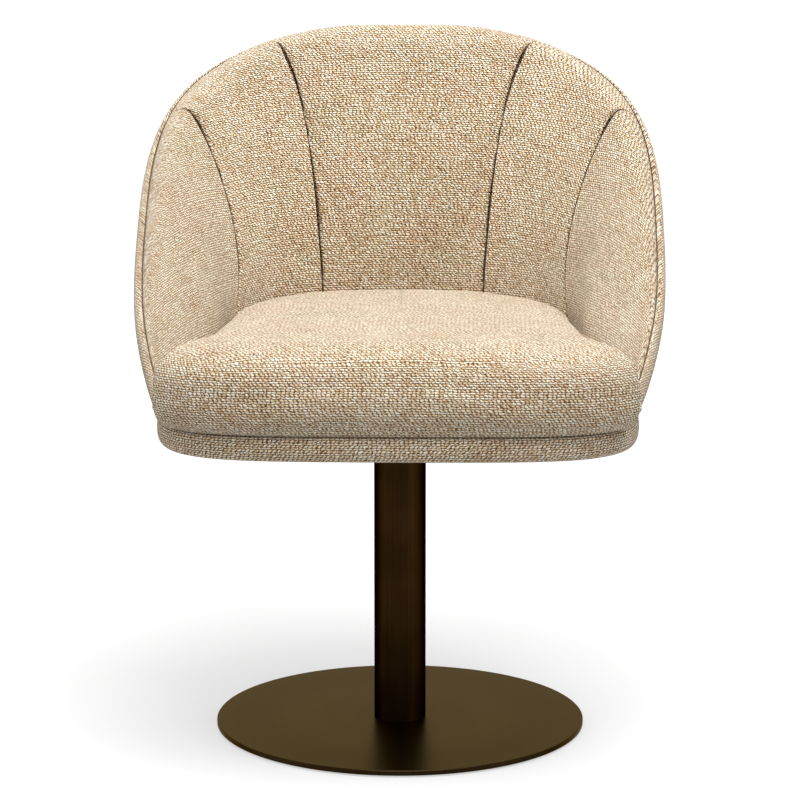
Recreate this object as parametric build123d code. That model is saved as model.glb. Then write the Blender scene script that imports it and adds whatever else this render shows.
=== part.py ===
from build123d import *
from math import ceil, cos, degrees, floor, radians, sin
import os

# Swivel dining chair: an upholstered tub seat that turns on a round steel pedestal.
# Frame: millimetres, +Z up, origin on the floor under the swivel axis. The chair faces -Y.
# Angles round the seat are in degrees from the middle of the back (+Y), positive towards +X.

# ---------------------------------------------------------------- driving dimensions
# Pedestal
GLIDE_RADIUS, GLIDE_HEIGHT, GLIDE_COUNT, GLIDE_PITCH_RADIUS = 12, 2, 6, 196
DISC_RADIUS, DISC_THICKNESS, DISC_CHAMFER = 214, 6, 0.8
COLUMN_RADIUS, COLUMN_WALL, COLUMN_TOP = 30, 2.5, 358
FOOT_THICKNESS, FOOT_SCREW_PITCH_RADIUS, FOOT_SCREW_COUNT = 12, 17, 4
FOOT_SCREW_RADIUS, FOOT_SCREW_HEAD, SCREW_SLACK = 3.9, 7.5, 0.05
SOCKET_WIDTH_SHARE, SOCKET_DEPTH_SHARE = 0.62, 0.6

# Swivel
SPINDLE_RADIUS, SPINDLE_END, SPINDLE_CHAMFER = 12.5, 254, 1.5
COLLAR_RADIUS, COLLAR_BOTTOM = 23, 347
HUB_BOTTOM, HUB_TOP, HUB_BORE_RADIUS = 264, 344, 15
BUSH_LENGTH, RUNNING_CLEARANCE, LOOSE_CLEARANCE = 25, 0.05, 0.4
SNAP_RING_BOTTOM, SNAP_RING_THICKNESS, SNAP_RING_WIDTH, SNAP_RING_GAP = 259.1, 1.6, 3.9, 7
GROOVE_RADIUS, GROOVE_SLACK = 11, 0.1
RETAINING_WASHER_RADIUS, RETAINING_WASHER_PLAY = 20, 0.3
PLATE_SIDE, PLATE_THICKNESS, PLATE_BOLT_SPACING, PLATE_CORNER = 200, 5, 160, 18
BOLT_RADIUS, BOLT_HEAD_ACROSS_FLATS, BOLT_HEAD_HEIGHT, BOLT_TIP = 3.95, 13, 5.3, 389
BOLT_HOLE_CLEARANCE, WASHER_RADIUS, WASHER_THICKNESS = 0.5, 8.5, 1.6
TEE_NUT_FLANGE_RADIUS, TEE_NUT_FLANGE_THICKNESS, TEE_NUT_BARREL_RADIUS, TEE_NUT_LENGTH = 12, 1.5, 5.2, 16
TEE_NUT_SLACK = 0.05

# Seat base: a plywood board whose edge is wrapped in padded fabric
BOARD_BOTTOM, BOARD_TOP = 368, 392
WRAP_THICKNESS, WRAP_LIP, WRAP_BOTTOM, BOARD_GAP = 7, 30, 363, 0.4
WRAP_ROUNDING, WRAP_FLAT_START = 0.3, 2
BASE_HALF_WIDTH, BASE_REAR, BASE_FRONT, FRONT_BOW, BOW_END_ANGLE = 268, 252, 264, 5, 45
REAR_SQUARENESS, FRONT_SQUARENESS = 2.5, 4.8
DUST_COVER_THICKNESS, DUST_COVER_GAP, DUST_COVER_WINDOW_GAP = 1, 1, 3

# Tub: rim heights by angle from the middle of the back
RIM_HEIGHTS = ((0, 801), (25, 792), (50, 742), (75, 650), (100, 526), (115, 474), (127, 426))
TUB_END_ANGLE, TUB_FRAME_END_ANGLE = 127, 120
TUB_FOOT_INSET = 2
RIM_HALF_WIDTH, RIM_REAR, RIM_FRONT_REACH, RIM_SQUARENESS = 301, 287, 403, 2.85
WALL_LOW_SPREAD, WALL_LOW_RISE, WALL_HIGH_SPREAD, WALL_HIGH_RISE = 0.15, 0.34, 0.24, 0.77
SEAT_HALF_WIDTH, SEAT_REAR, SEAT_SQUARENESS, ARM_FLARE, ARM_TIP_FLARE = 205, 200, 2.3, 0.12, 18
RIM_THICKNESS_BACK, RIM_THICKNESS_TIP, RIM_THINNING_START = 34, 29, 60
SHOULDER_DROP, SEAM_INSET, SEAM_DROP = 16, 9, 3
COVER_THICKNESS, FRAME_THICKNESS, PANEL_THICKNESS, SOFT_GAP, SEAM_GAP = 4, 10, 8, 1.0, 0.8
FRAME_TOP_DROP = 22
STATION_STEP, TIP_STATION_STEP, TIP_STATIONS_START = 8, 4, 104
PANEL_SEAM_ANGLES, SEAM_VALLEY, SEAM_VALLEY_ANGLE, SEAM_HALF_GAP = (28, 58), 5, 3.0, 0.1
TIP_FOAM_START_GAP, TIP_FOAM_END_GAP = 0.3, 1.6
CLOSING_FLAP = ((0, 0), (0.35, 1), (0.6, 4))  # angle past the arm's end, and inset, at each row

# Tub section: where the control points of its curves stand, mostly as shares of its own sizes
SHOULDER_STRAIGHT, SHOULDER_TURN, SHOULDER_FALL = 0.55, 0.4, 0.8
SHOULDER_INSET_ACROSS, SHOULDER_INSET_DOWN = 0.7, 0.8
RIM_ROLL, RIM_ROLL_INSET = 0.42, 0.4
CREST_WIDTH, CREST_RISE, CREST_REACH = 0.36, 1.5, 0.45
SLOPE_AIM, SLOPE_LEAST = 20, 0.25
INNER_REACH, INNER_REACH_LEAST = 0.22, 6
LUMBAR_RISE, LUMBAR_MOST, LUMBAR_BULGE, LUMBAR_SIDE_BULGE = 0.34, 0.7, 1, 3
HIP_DROP, HIP_FALL, HIP_MOST, HIP_BULGE = 25, 0.05, 0.38, 2

# Seat cushion: height of each level, and the share by which its outline shrinks to the core there,
# first where it is free in front, then where it is squeezed against the tub
CUSHION_LEVELS = (
    (392, 0.08, 0.08), (402, 0.025, 0.025), (415, 0.0, 0.0), (430, 0.0, 0.0), (445, 0.015, 0.0),
    (459, 0.05, 0.015), (470, 0.13, 0.045), (478, 0.26, 0.11), (483, 0.46, 0.25), (486, 0.7, 0.52),
    (487, 0.95, 0.9),
)
CUSHION_CORE_HALF_WIDTH, CUSHION_CORE_REAR, CUSHION_CORE_FRONT = 140, 140, 170
CUSHION_OVERHANG, CUSHION_WING, CUSHION_WING_END, CUSHION_CLEARANCE = 8, 14, 165, 3
CUSHION_STEP_START, CUSHION_STEP_END, CUSHION_FREE_ANGLE = 128.1, 130.6, 100
CUSHION_REAR_KNOTS = (*range(0, 120, 12), 119, 123, 126)
CUSHION_STEP_KNOTS, CUSHION_STEP_SPACING = 5, 0.55
CUSHION_FRONT_KNOTS = (132.5, 136, 141, *range(148, 181, 8))
SEAT_HEIGHT, SEAT_COVER_THICKNESS = 487, 3

TUB_SCREW_ANGLES, TUB_SCREW_RADIUS, TUB_SCREW_HEAD, TUB_SCREW_LENGTH = (0, 38, 76, 110), 2, 4.2, 36
TUB_SCREW_INSET = 11.5

DISC_TOP = GLIDE_HEIGHT + DISC_THICKNESS
PLATE_BOTTOM = BOARD_BOTTOM - PLATE_THICKNESS


# ---------------------------------------------------------------- shared geometry
def at(angle, radius, height):
    """The point that far from the swivel axis, in the upright plane at that angle."""
    return Vector(radius * sin(radians(angle)), radius * cos(radians(angle)), height)


def oval_radius(angle, half_width, half_depth, squareness):
    """Distance from the axis to a superellipse, seen from above."""
    across = abs(sin(radians(angle))) / half_width
    along = abs(cos(radians(angle))) / half_depth
    return (across**squareness + along**squareness) ** (-1 / squareness)


def base_radius(angle):
    """Outer edge of the wrapped seat base: round behind, squarer and gently bowed in front."""
    if abs(angle) <= 90:
        return oval_radius(angle, BASE_HALF_WIDTH, BASE_REAR, REAR_SQUARENESS)
    from_front = abs(180 - abs(angle))
    bow = FRONT_BOW * cos(radians(90 * min(from_front / BOW_END_ANGLE, 1)))
    return oval_radius(angle, BASE_HALF_WIDTH, BASE_FRONT, FRONT_SQUARENESS) + bow


def rim_radius(angle):
    """Widest line of the tub, just under its rim."""
    if abs(angle) <= 90:
        return oval_radius(angle, RIM_HALF_WIDTH, RIM_REAR, RIM_SQUARENESS)
    return oval_radius(angle, RIM_HALF_WIDTH, RIM_FRONT_REACH, 2)


def seat_well_radius(angle):
    """Inside of the tub at the height of the seat: round behind, with arms that flare forwards."""
    if abs(angle) <= 90:
        return oval_radius(angle, SEAT_HALF_WIDTH, SEAT_REAR, SEAT_SQUARENESS)
    across, along = abs(sin(radians(angle))), abs(cos(radians(angle)))
    towards_tip = (abs(angle) - 90) / (TUB_END_ANGLE - 90)
    return SEAT_HALF_WIDTH / (across - ARM_FLARE * along) + ARM_TIP_FLARE * towards_tip**4


def rim_height(angle):
    """Height of the rim's crest: a smooth curve through RIM_HEIGHTS, level at the middle of the back."""
    angle = abs(angle)
    knots = [(-a, h) for a, h in RIM_HEIGHTS[1:2]] + list(RIM_HEIGHTS)
    last, before = RIM_HEIGHTS[-1], RIM_HEIGHTS[-2]
    knots.append((2 * last[0] - before[0], 2 * last[1] - before[1]))
    spans = range(1, len(knots) - 2)
    i = next((k for k in spans if angle <= knots[k + 1][0]), spans[-1])
    (a0, h0), (a1, h1), (a2, h2), (a3, h3) = knots[i - 1 : i + 3]
    t = (angle - a1) / (a2 - a1)
    start = (h2 - h0) / (a2 - a0) * (a2 - a1)
    end = (h3 - h1) / (a3 - a1) * (a2 - a1)
    return (
        (2 * t**3 - 3 * t**2 + 1) * h1
        + (t**3 - 2 * t**2 + t) * start
        + (3 * t**2 - 2 * t**3) * h2
        + (t**3 - t**2) * end
    )


def side_share(angle):
    """0 at the middle of the back, 1 from the sides forwards."""
    return sin(radians(min(abs(angle), 90))) ** 2


def smooth_step(value, start, end):
    """0 up to `start`, 1 from `end` on, and a smooth rise between them."""
    t = min(max((value - start) / (end - start), 0), 1)
    return t * t * (3 - 2 * t)


def closed_outline(radius_at, height, step=10):
    """A smooth closed wire through a radius given for every angle."""
    points = [at(angle, radius_at(angle), height) for angle in range(-180, 180, step)]
    return Wire([Edge.make_spline(points, periodic=True)])


def slab(radius_at, bottom, top):
    """A flat plate with that outline."""
    face = Face(closed_outline(radius_at, bottom))
    return Solid.extrude(face, Vector(0, 0, top - bottom))


def ring(outer, inner, bottom, top):
    """A plain round sleeve or washer on the swivel axis."""
    height = top - bottom
    sleeve = Cylinder(outer, height) - Cylinder(inner, height)
    return Pos(0, 0, bottom + height / 2) * sleeve


def rod(radius, bottom, top):
    """A plain round bar on the swivel axis."""
    return Pos(0, 0, (bottom + top) / 2) * Cylinder(radius, top - bottom)


def round_pattern(radius, count, shape, start=0):
    """Copies of a shape on a circle round the swivel axis."""
    return [loc * shape for loc in PolarLocations(radius, count, start_angle=start)]


def square_pattern(spacing, shape):
    """Copies of a shape at the corners of a square round the swivel axis."""
    return [loc * shape for loc in GridLocations(spacing, spacing, 2, 2)]


# ---------------------------------------------------------------- tub profiles
class TubProfile:
    """One upright section through the tub. An `inset` is a depth under its finished surface.

    Every curve is a Bezier of fixed degree, so that all sections loft into clean surfaces.
    """

    def __init__(self, angle):
        self.angle = angle
        self.crest = rim_height(angle)
        self.rim = rim_radius(angle)
        self.foot = base_radius(angle) - TUB_FOOT_INSET
        self.well = seat_well_radius(angle)
        tip = max(0.0, (abs(angle) - RIM_THINNING_START) / (TUB_END_ANGLE - RIM_THINNING_START))
        self.thickness = RIM_THICKNESS_BACK + (RIM_THICKNESS_TIP - RIM_THICKNESS_BACK) * tip
        self.lean = 1 - side_share(angle)

    def curve(self, *points):
        return Edge.make_bezier(*[at(self.angle, r, z) for r, z in points])

    def line(self, start, end):
        return Edge.make_line(at(self.angle, *start), at(self.angle, *end))

    def outer_points(self, inset, top=None):
        """Outside of the tub from its foot up to the rim's shoulder, or up to `top`."""
        shoulder = self.crest - SHOULDER_DROP
        top = shoulder if top is None else top
        rise, spread = shoulder - BOARD_TOP, self.rim - self.foot
        points = [
            (self.foot, BOARD_TOP),
            (self.foot + spread * WALL_LOW_SPREAD * (1 - self.lean), BOARD_TOP + WALL_LOW_RISE * rise),
            (self.rim - spread * WALL_HIGH_SPREAD * self.lean, BOARD_TOP + WALL_HIGH_RISE * rise),
            (self.rim, shoulder),
        ]
        if top != shoulder:
            points = split_bezier(points, (top - BOARD_TOP) / rise)
        return [(r - inset, z) for r, z in points]

    def shoulder_points(self, inset):
        """Outer quarter of the rim, from its widest line to the top seam."""
        return [
            (self.rim - inset, self.crest - SHOULDER_DROP),
            (self.rim - inset, self.crest - SHOULDER_STRAIGHT * SHOULDER_DROP),
            (
                self.rim - SHOULDER_TURN * SEAM_INSET - SHOULDER_INSET_ACROSS * inset,
                self.crest - SEAM_DROP - SHOULDER_FALL - SHOULDER_INSET_DOWN * inset,
            ),
            (self.rim - SEAM_INSET, self.crest - SEAM_DROP - inset),
        ]

    def inner_start(self, inset):
        """Where the rounded rim turns into the inner face."""
        return (
            self.rim - self.thickness + inset,
            self.crest - RIM_ROLL * self.thickness - RIM_ROLL_INSET * inset,
        )

    def slope(self):
        """Downward direction of the inner face just under the rim."""
        start_r, start_z = self.inner_start(0)
        run = start_r - self.well
        drop = max(start_z - SEAT_HEIGHT + SLOPE_AIM, SLOPE_LEAST * (start_z - BOARD_TOP))
        length = (run**2 + drop**2) ** 0.5
        return -run / length, -drop / length

    def crest_points(self, inset, gap=0.0):
        """Over the top of the rim, from the seam (or `gap` inside it) to the inner face."""
        start_r, start_z = self.inner_start(inset)
        dir_r, dir_z = self.slope()
        reach = CREST_REACH * self.thickness
        return [
            (self.rim - SEAM_INSET - gap, self.crest - SEAM_DROP - inset),
            (self.rim - SEAM_INSET - CREST_WIDTH * self.thickness, self.crest + CREST_RISE - inset),
            (start_r - dir_r * reach, start_z - dir_z * reach),
            (start_r, start_z),
        ]

    def inner_points(self, inset):
        """Inner face, from the rim down into the seat well and to the board."""
        start_r, start_z = self.inner_start(inset)
        dir_r, dir_z = self.slope()
        above, span = max(start_z - SEAT_HEIGHT, 0), start_z - BOARD_TOP
        reach = INNER_REACH * above + INNER_REACH_LEAST
        well = self.well + inset
        lumbar = min(SEAT_HEIGHT + LUMBAR_RISE * above, BOARD_TOP + LUMBAR_MOST * span)
        hip = min(SEAT_HEIGHT - HIP_DROP - HIP_FALL * above, BOARD_TOP + HIP_MOST * span)
        return [
            (start_r, start_z),
            (start_r + dir_r * reach, start_z + dir_z * reach),
            (well - LUMBAR_BULGE - LUMBAR_SIDE_BULGE * side_share(self.angle), lumbar),
            (well - HIP_BULGE, hip),
            (well, BOARD_TOP),
        ]


def split_bezier(points, share):
    """First part of a cubic Bezier, up to that share of its parameter."""
    done = [points[0]]
    level = list(points)
    while len(level) > 1:
        level = [
            tuple(a + (b - a) * share for a, b in zip(p, q))
            for p, q in zip(level, level[1:])
        ]
        done.append(level[0])
    return done


def back_to_front(points):
    return list(reversed(points))


def loop(profile, *runs):
    """A closed wire from runs of control points, with a straight closing line."""
    edges = [profile.curve(*run) for run in runs]
    for i, run in enumerate(runs):
        following = runs[(i + 1) % len(runs)]
        if (Vector(*run[-1]) - Vector(*following[0])).length > 1e-6:
            edges.append(profile.line(run[-1], following[0]))
    return Wire(edges)


def cover_section(angle):
    """Padded fabric on the outside of the tub."""
    p = TubProfile(angle)
    return loop(
        p,
        p.outer_points(0),
        p.shoulder_points(0),
        back_to_front(p.shoulder_points(COVER_THICKNESS)),
        back_to_front(p.outer_points(COVER_THICKNESS)),
    )


def frame_section(angle):
    """Moulded plywood that carries the tub."""
    p = TubProfile(angle)
    outside = COVER_THICKNESS + SOFT_GAP
    top = p.crest - FRAME_TOP_DROP
    return loop(
        p,
        p.outer_points(outside, top),
        back_to_front(p.outer_points(outside + FRAME_THICKNESS, top)),
    )


def foam_section(angle):
    """Foam liner on the inside of the frame, folded over its top edge."""
    p = TubProfile(angle)
    under_cover = COVER_THICKNESS + SOFT_GAP
    under_panel = PANEL_THICKNESS + SOFT_GAP
    top = p.crest - FRAME_TOP_DROP + SOFT_GAP
    return loop(
        p,
        p.outer_points(under_cover + FRAME_THICKNESS + SOFT_GAP, top),
        p.crest_points(under_panel),
        p.inner_points(under_panel),
    )


def tip_foam_section(angle):
    """Foam in an arm's front end, between the outside cover and the arm panel."""
    p = TubProfile(angle)
    under_cover = COVER_THICKNESS + SOFT_GAP
    under_panel = PANEL_THICKNESS + 2 * SOFT_GAP
    return loop(p, p.outer_points(under_cover), p.crest_points(under_panel), p.inner_points(under_panel))


def panel_section(angle, valley):
    """Padded fabric panel on the inside, thinner by `valley` towards a seam."""
    p = TubProfile(angle)
    return loop(
        p,
        p.crest_points(valley, SEAM_GAP),
        p.inner_points(valley),
        back_to_front(p.inner_points(PANEL_THICKNESS)),
        back_to_front(p.crest_points(PANEL_THICKNESS, SEAM_GAP)),
    )


def tip_section(angle, inset):
    """The whole outline of an arm's front end."""
    p = TubProfile(angle)
    return loop(
        p,
        p.outer_points(inset),
        p.shoulder_points(inset),
        p.crest_points(inset),
        p.inner_points(inset),
    )


def station_step(angle):
    """Spacing of the sections: closer where the arms drop, on both sides."""
    from_front = abs(180 - abs(angle))
    dropping = BOW_END_ANGLE < from_front < 180 - TIP_STATIONS_START
    return TIP_STATION_STEP if dropping else STATION_STEP


def stations(start, end):
    """Start, end, and steps between them that all layers share."""
    between = []
    for angle in range(ceil(start), floor(end) + 1):
        step = station_step(angle)
        if angle % step == 0 and start + step / 3 <= angle <= end - step / 3:
            between.append(angle)
    return [start, *between, end]


def loft_round(section, start, end):
    return Solid.make_loft([section(angle) for angle in stations(start, end)])


# ---------------------------------------------------------------- pedestal
def floor_glides():
    glide = Cylinder(GLIDE_RADIUS, GLIDE_HEIGHT)
    return [Pos(0, 0, GLIDE_HEIGHT / 2) * g for g in round_pattern(GLIDE_PITCH_RADIUS, GLIDE_COUNT, glide)]


def countersunk_rod(radius, head_radius, bottom, top):
    """A rod that widens to a 90 degree countersink at `bottom`: a screw's outside, or its hole."""
    head_height = head_radius - radius
    head = Pos(0, 0, bottom + head_height / 2) * Cone(head_radius, radius, head_height)
    return head + rod(radius, bottom, top)


def countersunk_screw(radius, head_radius, bottom, top):
    """Screw driven upwards, its head flush with `bottom`, with a hexagon socket."""
    hexagon = RegularPolygon(SOCKET_WIDTH_SHARE * radius, 6)
    socket = extrude(hexagon, SOCKET_DEPTH_SHARE * (head_radius - radius))
    return countersunk_rod(radius, head_radius, bottom, top) - Pos(0, 0, bottom) * socket


def base_disc():
    disc = rod(DISC_RADIUS, GLIDE_HEIGHT, DISC_TOP)
    rims = disc.edges().filter_by(GeomType.CIRCLE)
    disc = chamfer(rims, DISC_CHAMFER)
    hole_radius, head_radius = FOOT_SCREW_RADIUS + SCREW_SLACK, FOOT_SCREW_HEAD + SCREW_SLACK
    hole = countersunk_rod(hole_radius, head_radius, GLIDE_HEIGHT, DISC_TOP)
    for cutter in round_pattern(FOOT_SCREW_PITCH_RADIUS, FOOT_SCREW_COUNT, hole, start=45):
        disc -= cutter
    return disc


def foot_screws():
    tip = DISC_TOP + FOOT_THICKNESS - 1
    screw = countersunk_screw(FOOT_SCREW_RADIUS, FOOT_SCREW_HEAD, GLIDE_HEIGHT, tip)
    return round_pattern(FOOT_SCREW_PITCH_RADIUS, FOOT_SCREW_COUNT, screw, start=45)


def column_tube():
    return ring(COLUMN_RADIUS, COLUMN_RADIUS - COLUMN_WALL, DISC_TOP, COLUMN_TOP)


def column_foot():
    foot = rod(COLUMN_RADIUS - COLUMN_WALL, DISC_TOP, DISC_TOP + FOOT_THICKNESS)
    hole = rod(FOOT_SCREW_RADIUS + SCREW_SLACK, DISC_TOP, DISC_TOP + FOOT_THICKNESS)
    for cutter in round_pattern(FOOT_SCREW_PITCH_RADIUS, FOOT_SCREW_COUNT, hole, start=45):
        foot -= cutter
    return foot


# ---------------------------------------------------------------- swivel
def bearing_hub():
    return ring(COLUMN_RADIUS - COLUMN_WALL, HUB_BORE_RADIUS, HUB_BOTTOM, HUB_TOP)


def bush(bottom):
    return ring(HUB_BORE_RADIUS, SPINDLE_RADIUS + RUNNING_CLEARANCE, bottom, bottom + BUSH_LENGTH)


def thrust_washer():
    top = COLLAR_BOTTOM - 2 * RUNNING_CLEARANCE
    return ring(COLLAR_RADIUS, SPINDLE_RADIUS + LOOSE_CLEARANCE, HUB_TOP, top)


def spindle():
    shaft = rod(SPINDLE_RADIUS, SPINDLE_END, COLLAR_BOTTOM)
    shaft = chamfer(shaft.edges().group_by(Axis.Z)[0], SPINDLE_CHAMFER)
    collar = rod(COLLAR_RADIUS, COLLAR_BOTTOM, PLATE_BOTTOM)
    groove_top = SNAP_RING_BOTTOM + SNAP_RING_THICKNESS + GROOVE_SLACK
    groove = ring(SPINDLE_RADIUS + 1, GROOVE_RADIUS, SNAP_RING_BOTTOM - GROOVE_SLACK, groove_top)
    return shaft + collar - groove


def snap_ring():
    """A retaining ring in the spindle's groove, open where its ends spring apart."""
    top = SNAP_RING_BOTTOM + SNAP_RING_THICKNESS
    inner = GROOVE_RADIUS + GROOVE_SLACK
    closed = ring(inner + SNAP_RING_WIDTH, inner, SNAP_RING_BOTTOM, top)
    opening = Box(SNAP_RING_GAP, 3 * SNAP_RING_WIDTH, 4 * SNAP_RING_THICKNESS)
    return closed - Pos(0, SPINDLE_RADIUS, SNAP_RING_BOTTOM) * opening


def retaining_washer():
    bottom = SNAP_RING_BOTTOM + SNAP_RING_THICKNESS
    top = HUB_BOTTOM - RETAINING_WASHER_PLAY
    return ring(RETAINING_WASHER_RADIUS, SPINDLE_RADIUS + LOOSE_CLEARANCE / 2, bottom, top)


def swivel_plate():
    outline = RectangleRounded(PLATE_SIDE, PLATE_SIDE, PLATE_CORNER)
    holes = Sketch() + square_pattern(PLATE_BOLT_SPACING, Circle(BOLT_RADIUS + BOLT_HOLE_CLEARANCE))
    plate = extrude(outline - holes, PLATE_THICKNESS)
    return Pos(0, 0, PLATE_BOTTOM) * plate


def plate_washers():
    hole_radius = BOLT_RADIUS + BOLT_HOLE_CLEARANCE
    washer = ring(WASHER_RADIUS, hole_radius, PLATE_BOTTOM - WASHER_THICKNESS, PLATE_BOTTOM)
    return square_pattern(PLATE_BOLT_SPACING, washer)


def plate_bolts():
    under_washer = PLATE_BOTTOM - WASHER_THICKNESS
    circumradius = BOLT_HEAD_ACROSS_FLATS / 3**0.5
    head = extrude(RegularPolygon(circumradius, 6), BOLT_HEAD_HEIGHT)
    head = Pos(0, 0, under_washer - BOLT_HEAD_HEIGHT) * head
    return square_pattern(PLATE_BOLT_SPACING, head + rod(BOLT_RADIUS, under_washer, BOLT_TIP))


def tee_nuts():
    bore = BOLT_RADIUS + TEE_NUT_SLACK
    flange = ring(TEE_NUT_FLANGE_RADIUS, bore, BOARD_TOP - TEE_NUT_FLANGE_THICKNESS, BOARD_TOP)
    barrel = ring(TEE_NUT_BARREL_RADIUS, bore, BOARD_TOP - TEE_NUT_LENGTH, BOARD_TOP)
    return square_pattern(PLATE_BOLT_SPACING, flange + barrel)


# ---------------------------------------------------------------- seat base
def board_radius(angle):
    """Inside of the wrap, where it lies against the board's edge."""
    return base_radius(angle) - WRAP_THICKNESS


def tub_screw_places():
    """Angle and radius of each screw, in the middle of the plywood tub's lower edge."""
    angles = sorted({side * angle for angle in TUB_SCREW_ANGLES for side in (-1, 1)})
    return [(angle, base_radius(angle) - TUB_SCREW_INSET) for angle in angles]


def tub_screws():
    tip = BOARD_BOTTOM + TUB_SCREW_LENGTH
    screw = countersunk_screw(TUB_SCREW_RADIUS, TUB_SCREW_HEAD, BOARD_BOTTOM, tip)
    return [Pos(*at(angle, radius, 0)) * screw for angle, radius in tub_screw_places()]


def tub_screw_holes():
    """Clearance for the tub screws: slightly wider and longer than they are."""
    top = BOARD_BOTTOM + TUB_SCREW_LENGTH + 1
    hole_radius, head_radius = TUB_SCREW_RADIUS + SCREW_SLACK, TUB_SCREW_HEAD + SCREW_SLACK
    hole = countersunk_rod(hole_radius, head_radius, BOARD_BOTTOM, top)
    return [Pos(*at(angle, radius, 0)) * hole for angle, radius in tub_screw_places()]


def seat_board():
    board = Part() + slab(lambda a: board_radius(a) - BOARD_GAP, BOARD_BOTTOM, BOARD_TOP)
    barrel = rod(TEE_NUT_BARREL_RADIUS + TEE_NUT_SLACK, BOARD_BOTTOM, BOARD_TOP)
    seat = rod(TEE_NUT_FLANGE_RADIUS + TEE_NUT_SLACK, BOARD_TOP - TEE_NUT_FLANGE_THICKNESS, BOARD_TOP)
    for cutter in square_pattern(PLATE_BOLT_SPACING, barrel + seat) + tub_screw_holes():
        board -= cutter
    return board


def lip_radius(angle):
    return base_radius(angle) - WRAP_LIP


def wrap_section(angle):
    """C-shaped section: over the board's edge, and tacked under it."""
    outer, board, lip = base_radius(angle), board_radius(angle), lip_radius(angle)
    middle = (WRAP_BOTTOM + BOARD_TOP) / 2
    rounding = WRAP_ROUNDING * (BOARD_TOP - WRAP_BOTTOM) / 2
    flat = board - WRAP_FLAT_START
    outline = [
        [(board, BOARD_TOP), (outer, BOARD_TOP), (outer, middle + rounding), (outer, middle)],
        [(outer, middle), (outer, middle - rounding), (outer, WRAP_BOTTOM), (flat, WRAP_BOTTOM)],
        [(flat, WRAP_BOTTOM), (lip, WRAP_BOTTOM)],
        [(lip, WRAP_BOTTOM), (lip, BOARD_BOTTOM)],
        [(lip, BOARD_BOTTOM), (board, BOARD_BOTTOM)],
        [(board, BOARD_BOTTOM), (board, BOARD_TOP)],
    ]
    edges = [
        Edge.make_bezier(*[at(angle, r, z) for r, z in run]) if len(run) > 2
        else Edge.make_line(at(angle, *run[0]), at(angle, *run[1]))
        for run in outline
    ]
    return Wire(edges)


def edge_wrap():
    """Lofted in a rear and a front half, which meet face to face at the sides."""
    rear = Solid.make_loft([wrap_section(angle) for angle in stations(-90, 90)])
    front = Solid.make_loft([wrap_section(angle) for angle in stations(90, 270)])
    return rear + front


def dust_cover():
    bottom = BOARD_BOTTOM - DUST_COVER_THICKNESS
    sheet = Part() + slab(lambda a: lip_radius(a) - DUST_COVER_GAP, bottom, BOARD_BOTTOM)
    side = PLATE_SIDE + 2 * DUST_COVER_WINDOW_GAP
    return sheet - Pos(0, 0, BOARD_BOTTOM) * Box(side, side, 4 * DUST_COVER_THICKNESS)


# ---------------------------------------------------------------- seat cushion
def cushion_core_radius(angle):
    """Small rounded plan towards which the cushion's crown shrinks."""
    depth = CUSHION_CORE_REAR if abs(angle) <= 90 else CUSHION_CORE_FRONT
    return oval_radius(angle, CUSHION_CORE_HALF_WIDTH, depth, 2)


def cushion_radius(angle, inset):
    """Plan of the cushion: inside the tub, then stepping out in front of the arms."""
    angle = abs(angle)
    turn = degrees(inset / base_radius(CUSHION_STEP_END))
    share = smooth_step(angle - turn, CUSHION_STEP_START, CUSHION_STEP_END)
    inside_tub = seat_well_radius(min(angle, CUSHION_STEP_END)) - CUSHION_CLEARANCE
    wing = CUSHION_WING * max(0, (CUSHION_WING_END - angle) / (CUSHION_WING_END - CUSHION_STEP_END))
    in_front = base_radius(angle) + CUSHION_OVERHANG + wing
    return inside_tub + share * (in_front - inside_tub) - inset


def cushion_point(angle, height, free_share, squeezed_share, inset):
    """A point of one level, moved from the cushion's plan towards its core."""
    radius = cushion_radius(angle, inset)
    free = smooth_step(abs(angle), CUSHION_FREE_ANGLE, CUSHION_STEP_START)
    share = squeezed_share + free * (free_share - squeezed_share)
    return at(angle, radius + share * (cushion_core_radius(angle) - radius), height)


def cushion_level(height, free_share, squeezed_share, inset):
    """One level of the cushion, with its points closest where the plan steps out to the wings."""
    start = CUSHION_STEP_START + degrees(inset / base_radius(CUSHION_STEP_END))
    step = [start + CUSHION_STEP_SPACING * i for i in range(CUSHION_STEP_KNOTS)]
    right = [*CUSHION_REAR_KNOTS, *step, *CUSHION_FRONT_KNOTS]
    angles = [*right, *[-angle for angle in reversed(right[1:-1])]]
    points = [cushion_point(angle, height, free_share, squeezed_share, inset) for angle in angles]
    return Wire([Edge.make_spline(points, periodic=True)])


def cushion_body(inset=0.0):
    """The cushion, or its foam where an inset leaves room for the cover."""
    levels = [
        cushion_level(max(height - inset, BOARD_TOP), free_share, squeezed_share, inset)
        for height, free_share, squeezed_share in CUSHION_LEVELS
    ]
    return Solid.make_loft(levels)


def seat_foam():
    return cushion_body(SEAT_COVER_THICKNESS)


def seat_cover():
    return cushion_body() - seat_foam()


# ---------------------------------------------------------------- tub
def tub_frame():
    frame = Part() + loft_round(frame_section, -TUB_FRAME_END_ANGLE, TUB_FRAME_END_ANGLE)
    for cutter in tub_screw_holes():
        frame -= cutter
    return frame


def tub_foam():
    return loft_round(foam_section, -TUB_FRAME_END_ANGLE, TUB_FRAME_END_ANGLE)


def arm_tip_foams():
    """Foam blocks that fill the arms in front of the plywood tub."""
    start, end = TUB_FRAME_END_ANGLE + TIP_FOAM_START_GAP, TUB_END_ANGLE - TIP_FOAM_END_GAP
    return [
        Solid.make_loft([tip_foam_section(side * angle) for angle in stations(start, end)], ruled=True)
        for side in (-1, 1)
    ]


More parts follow.
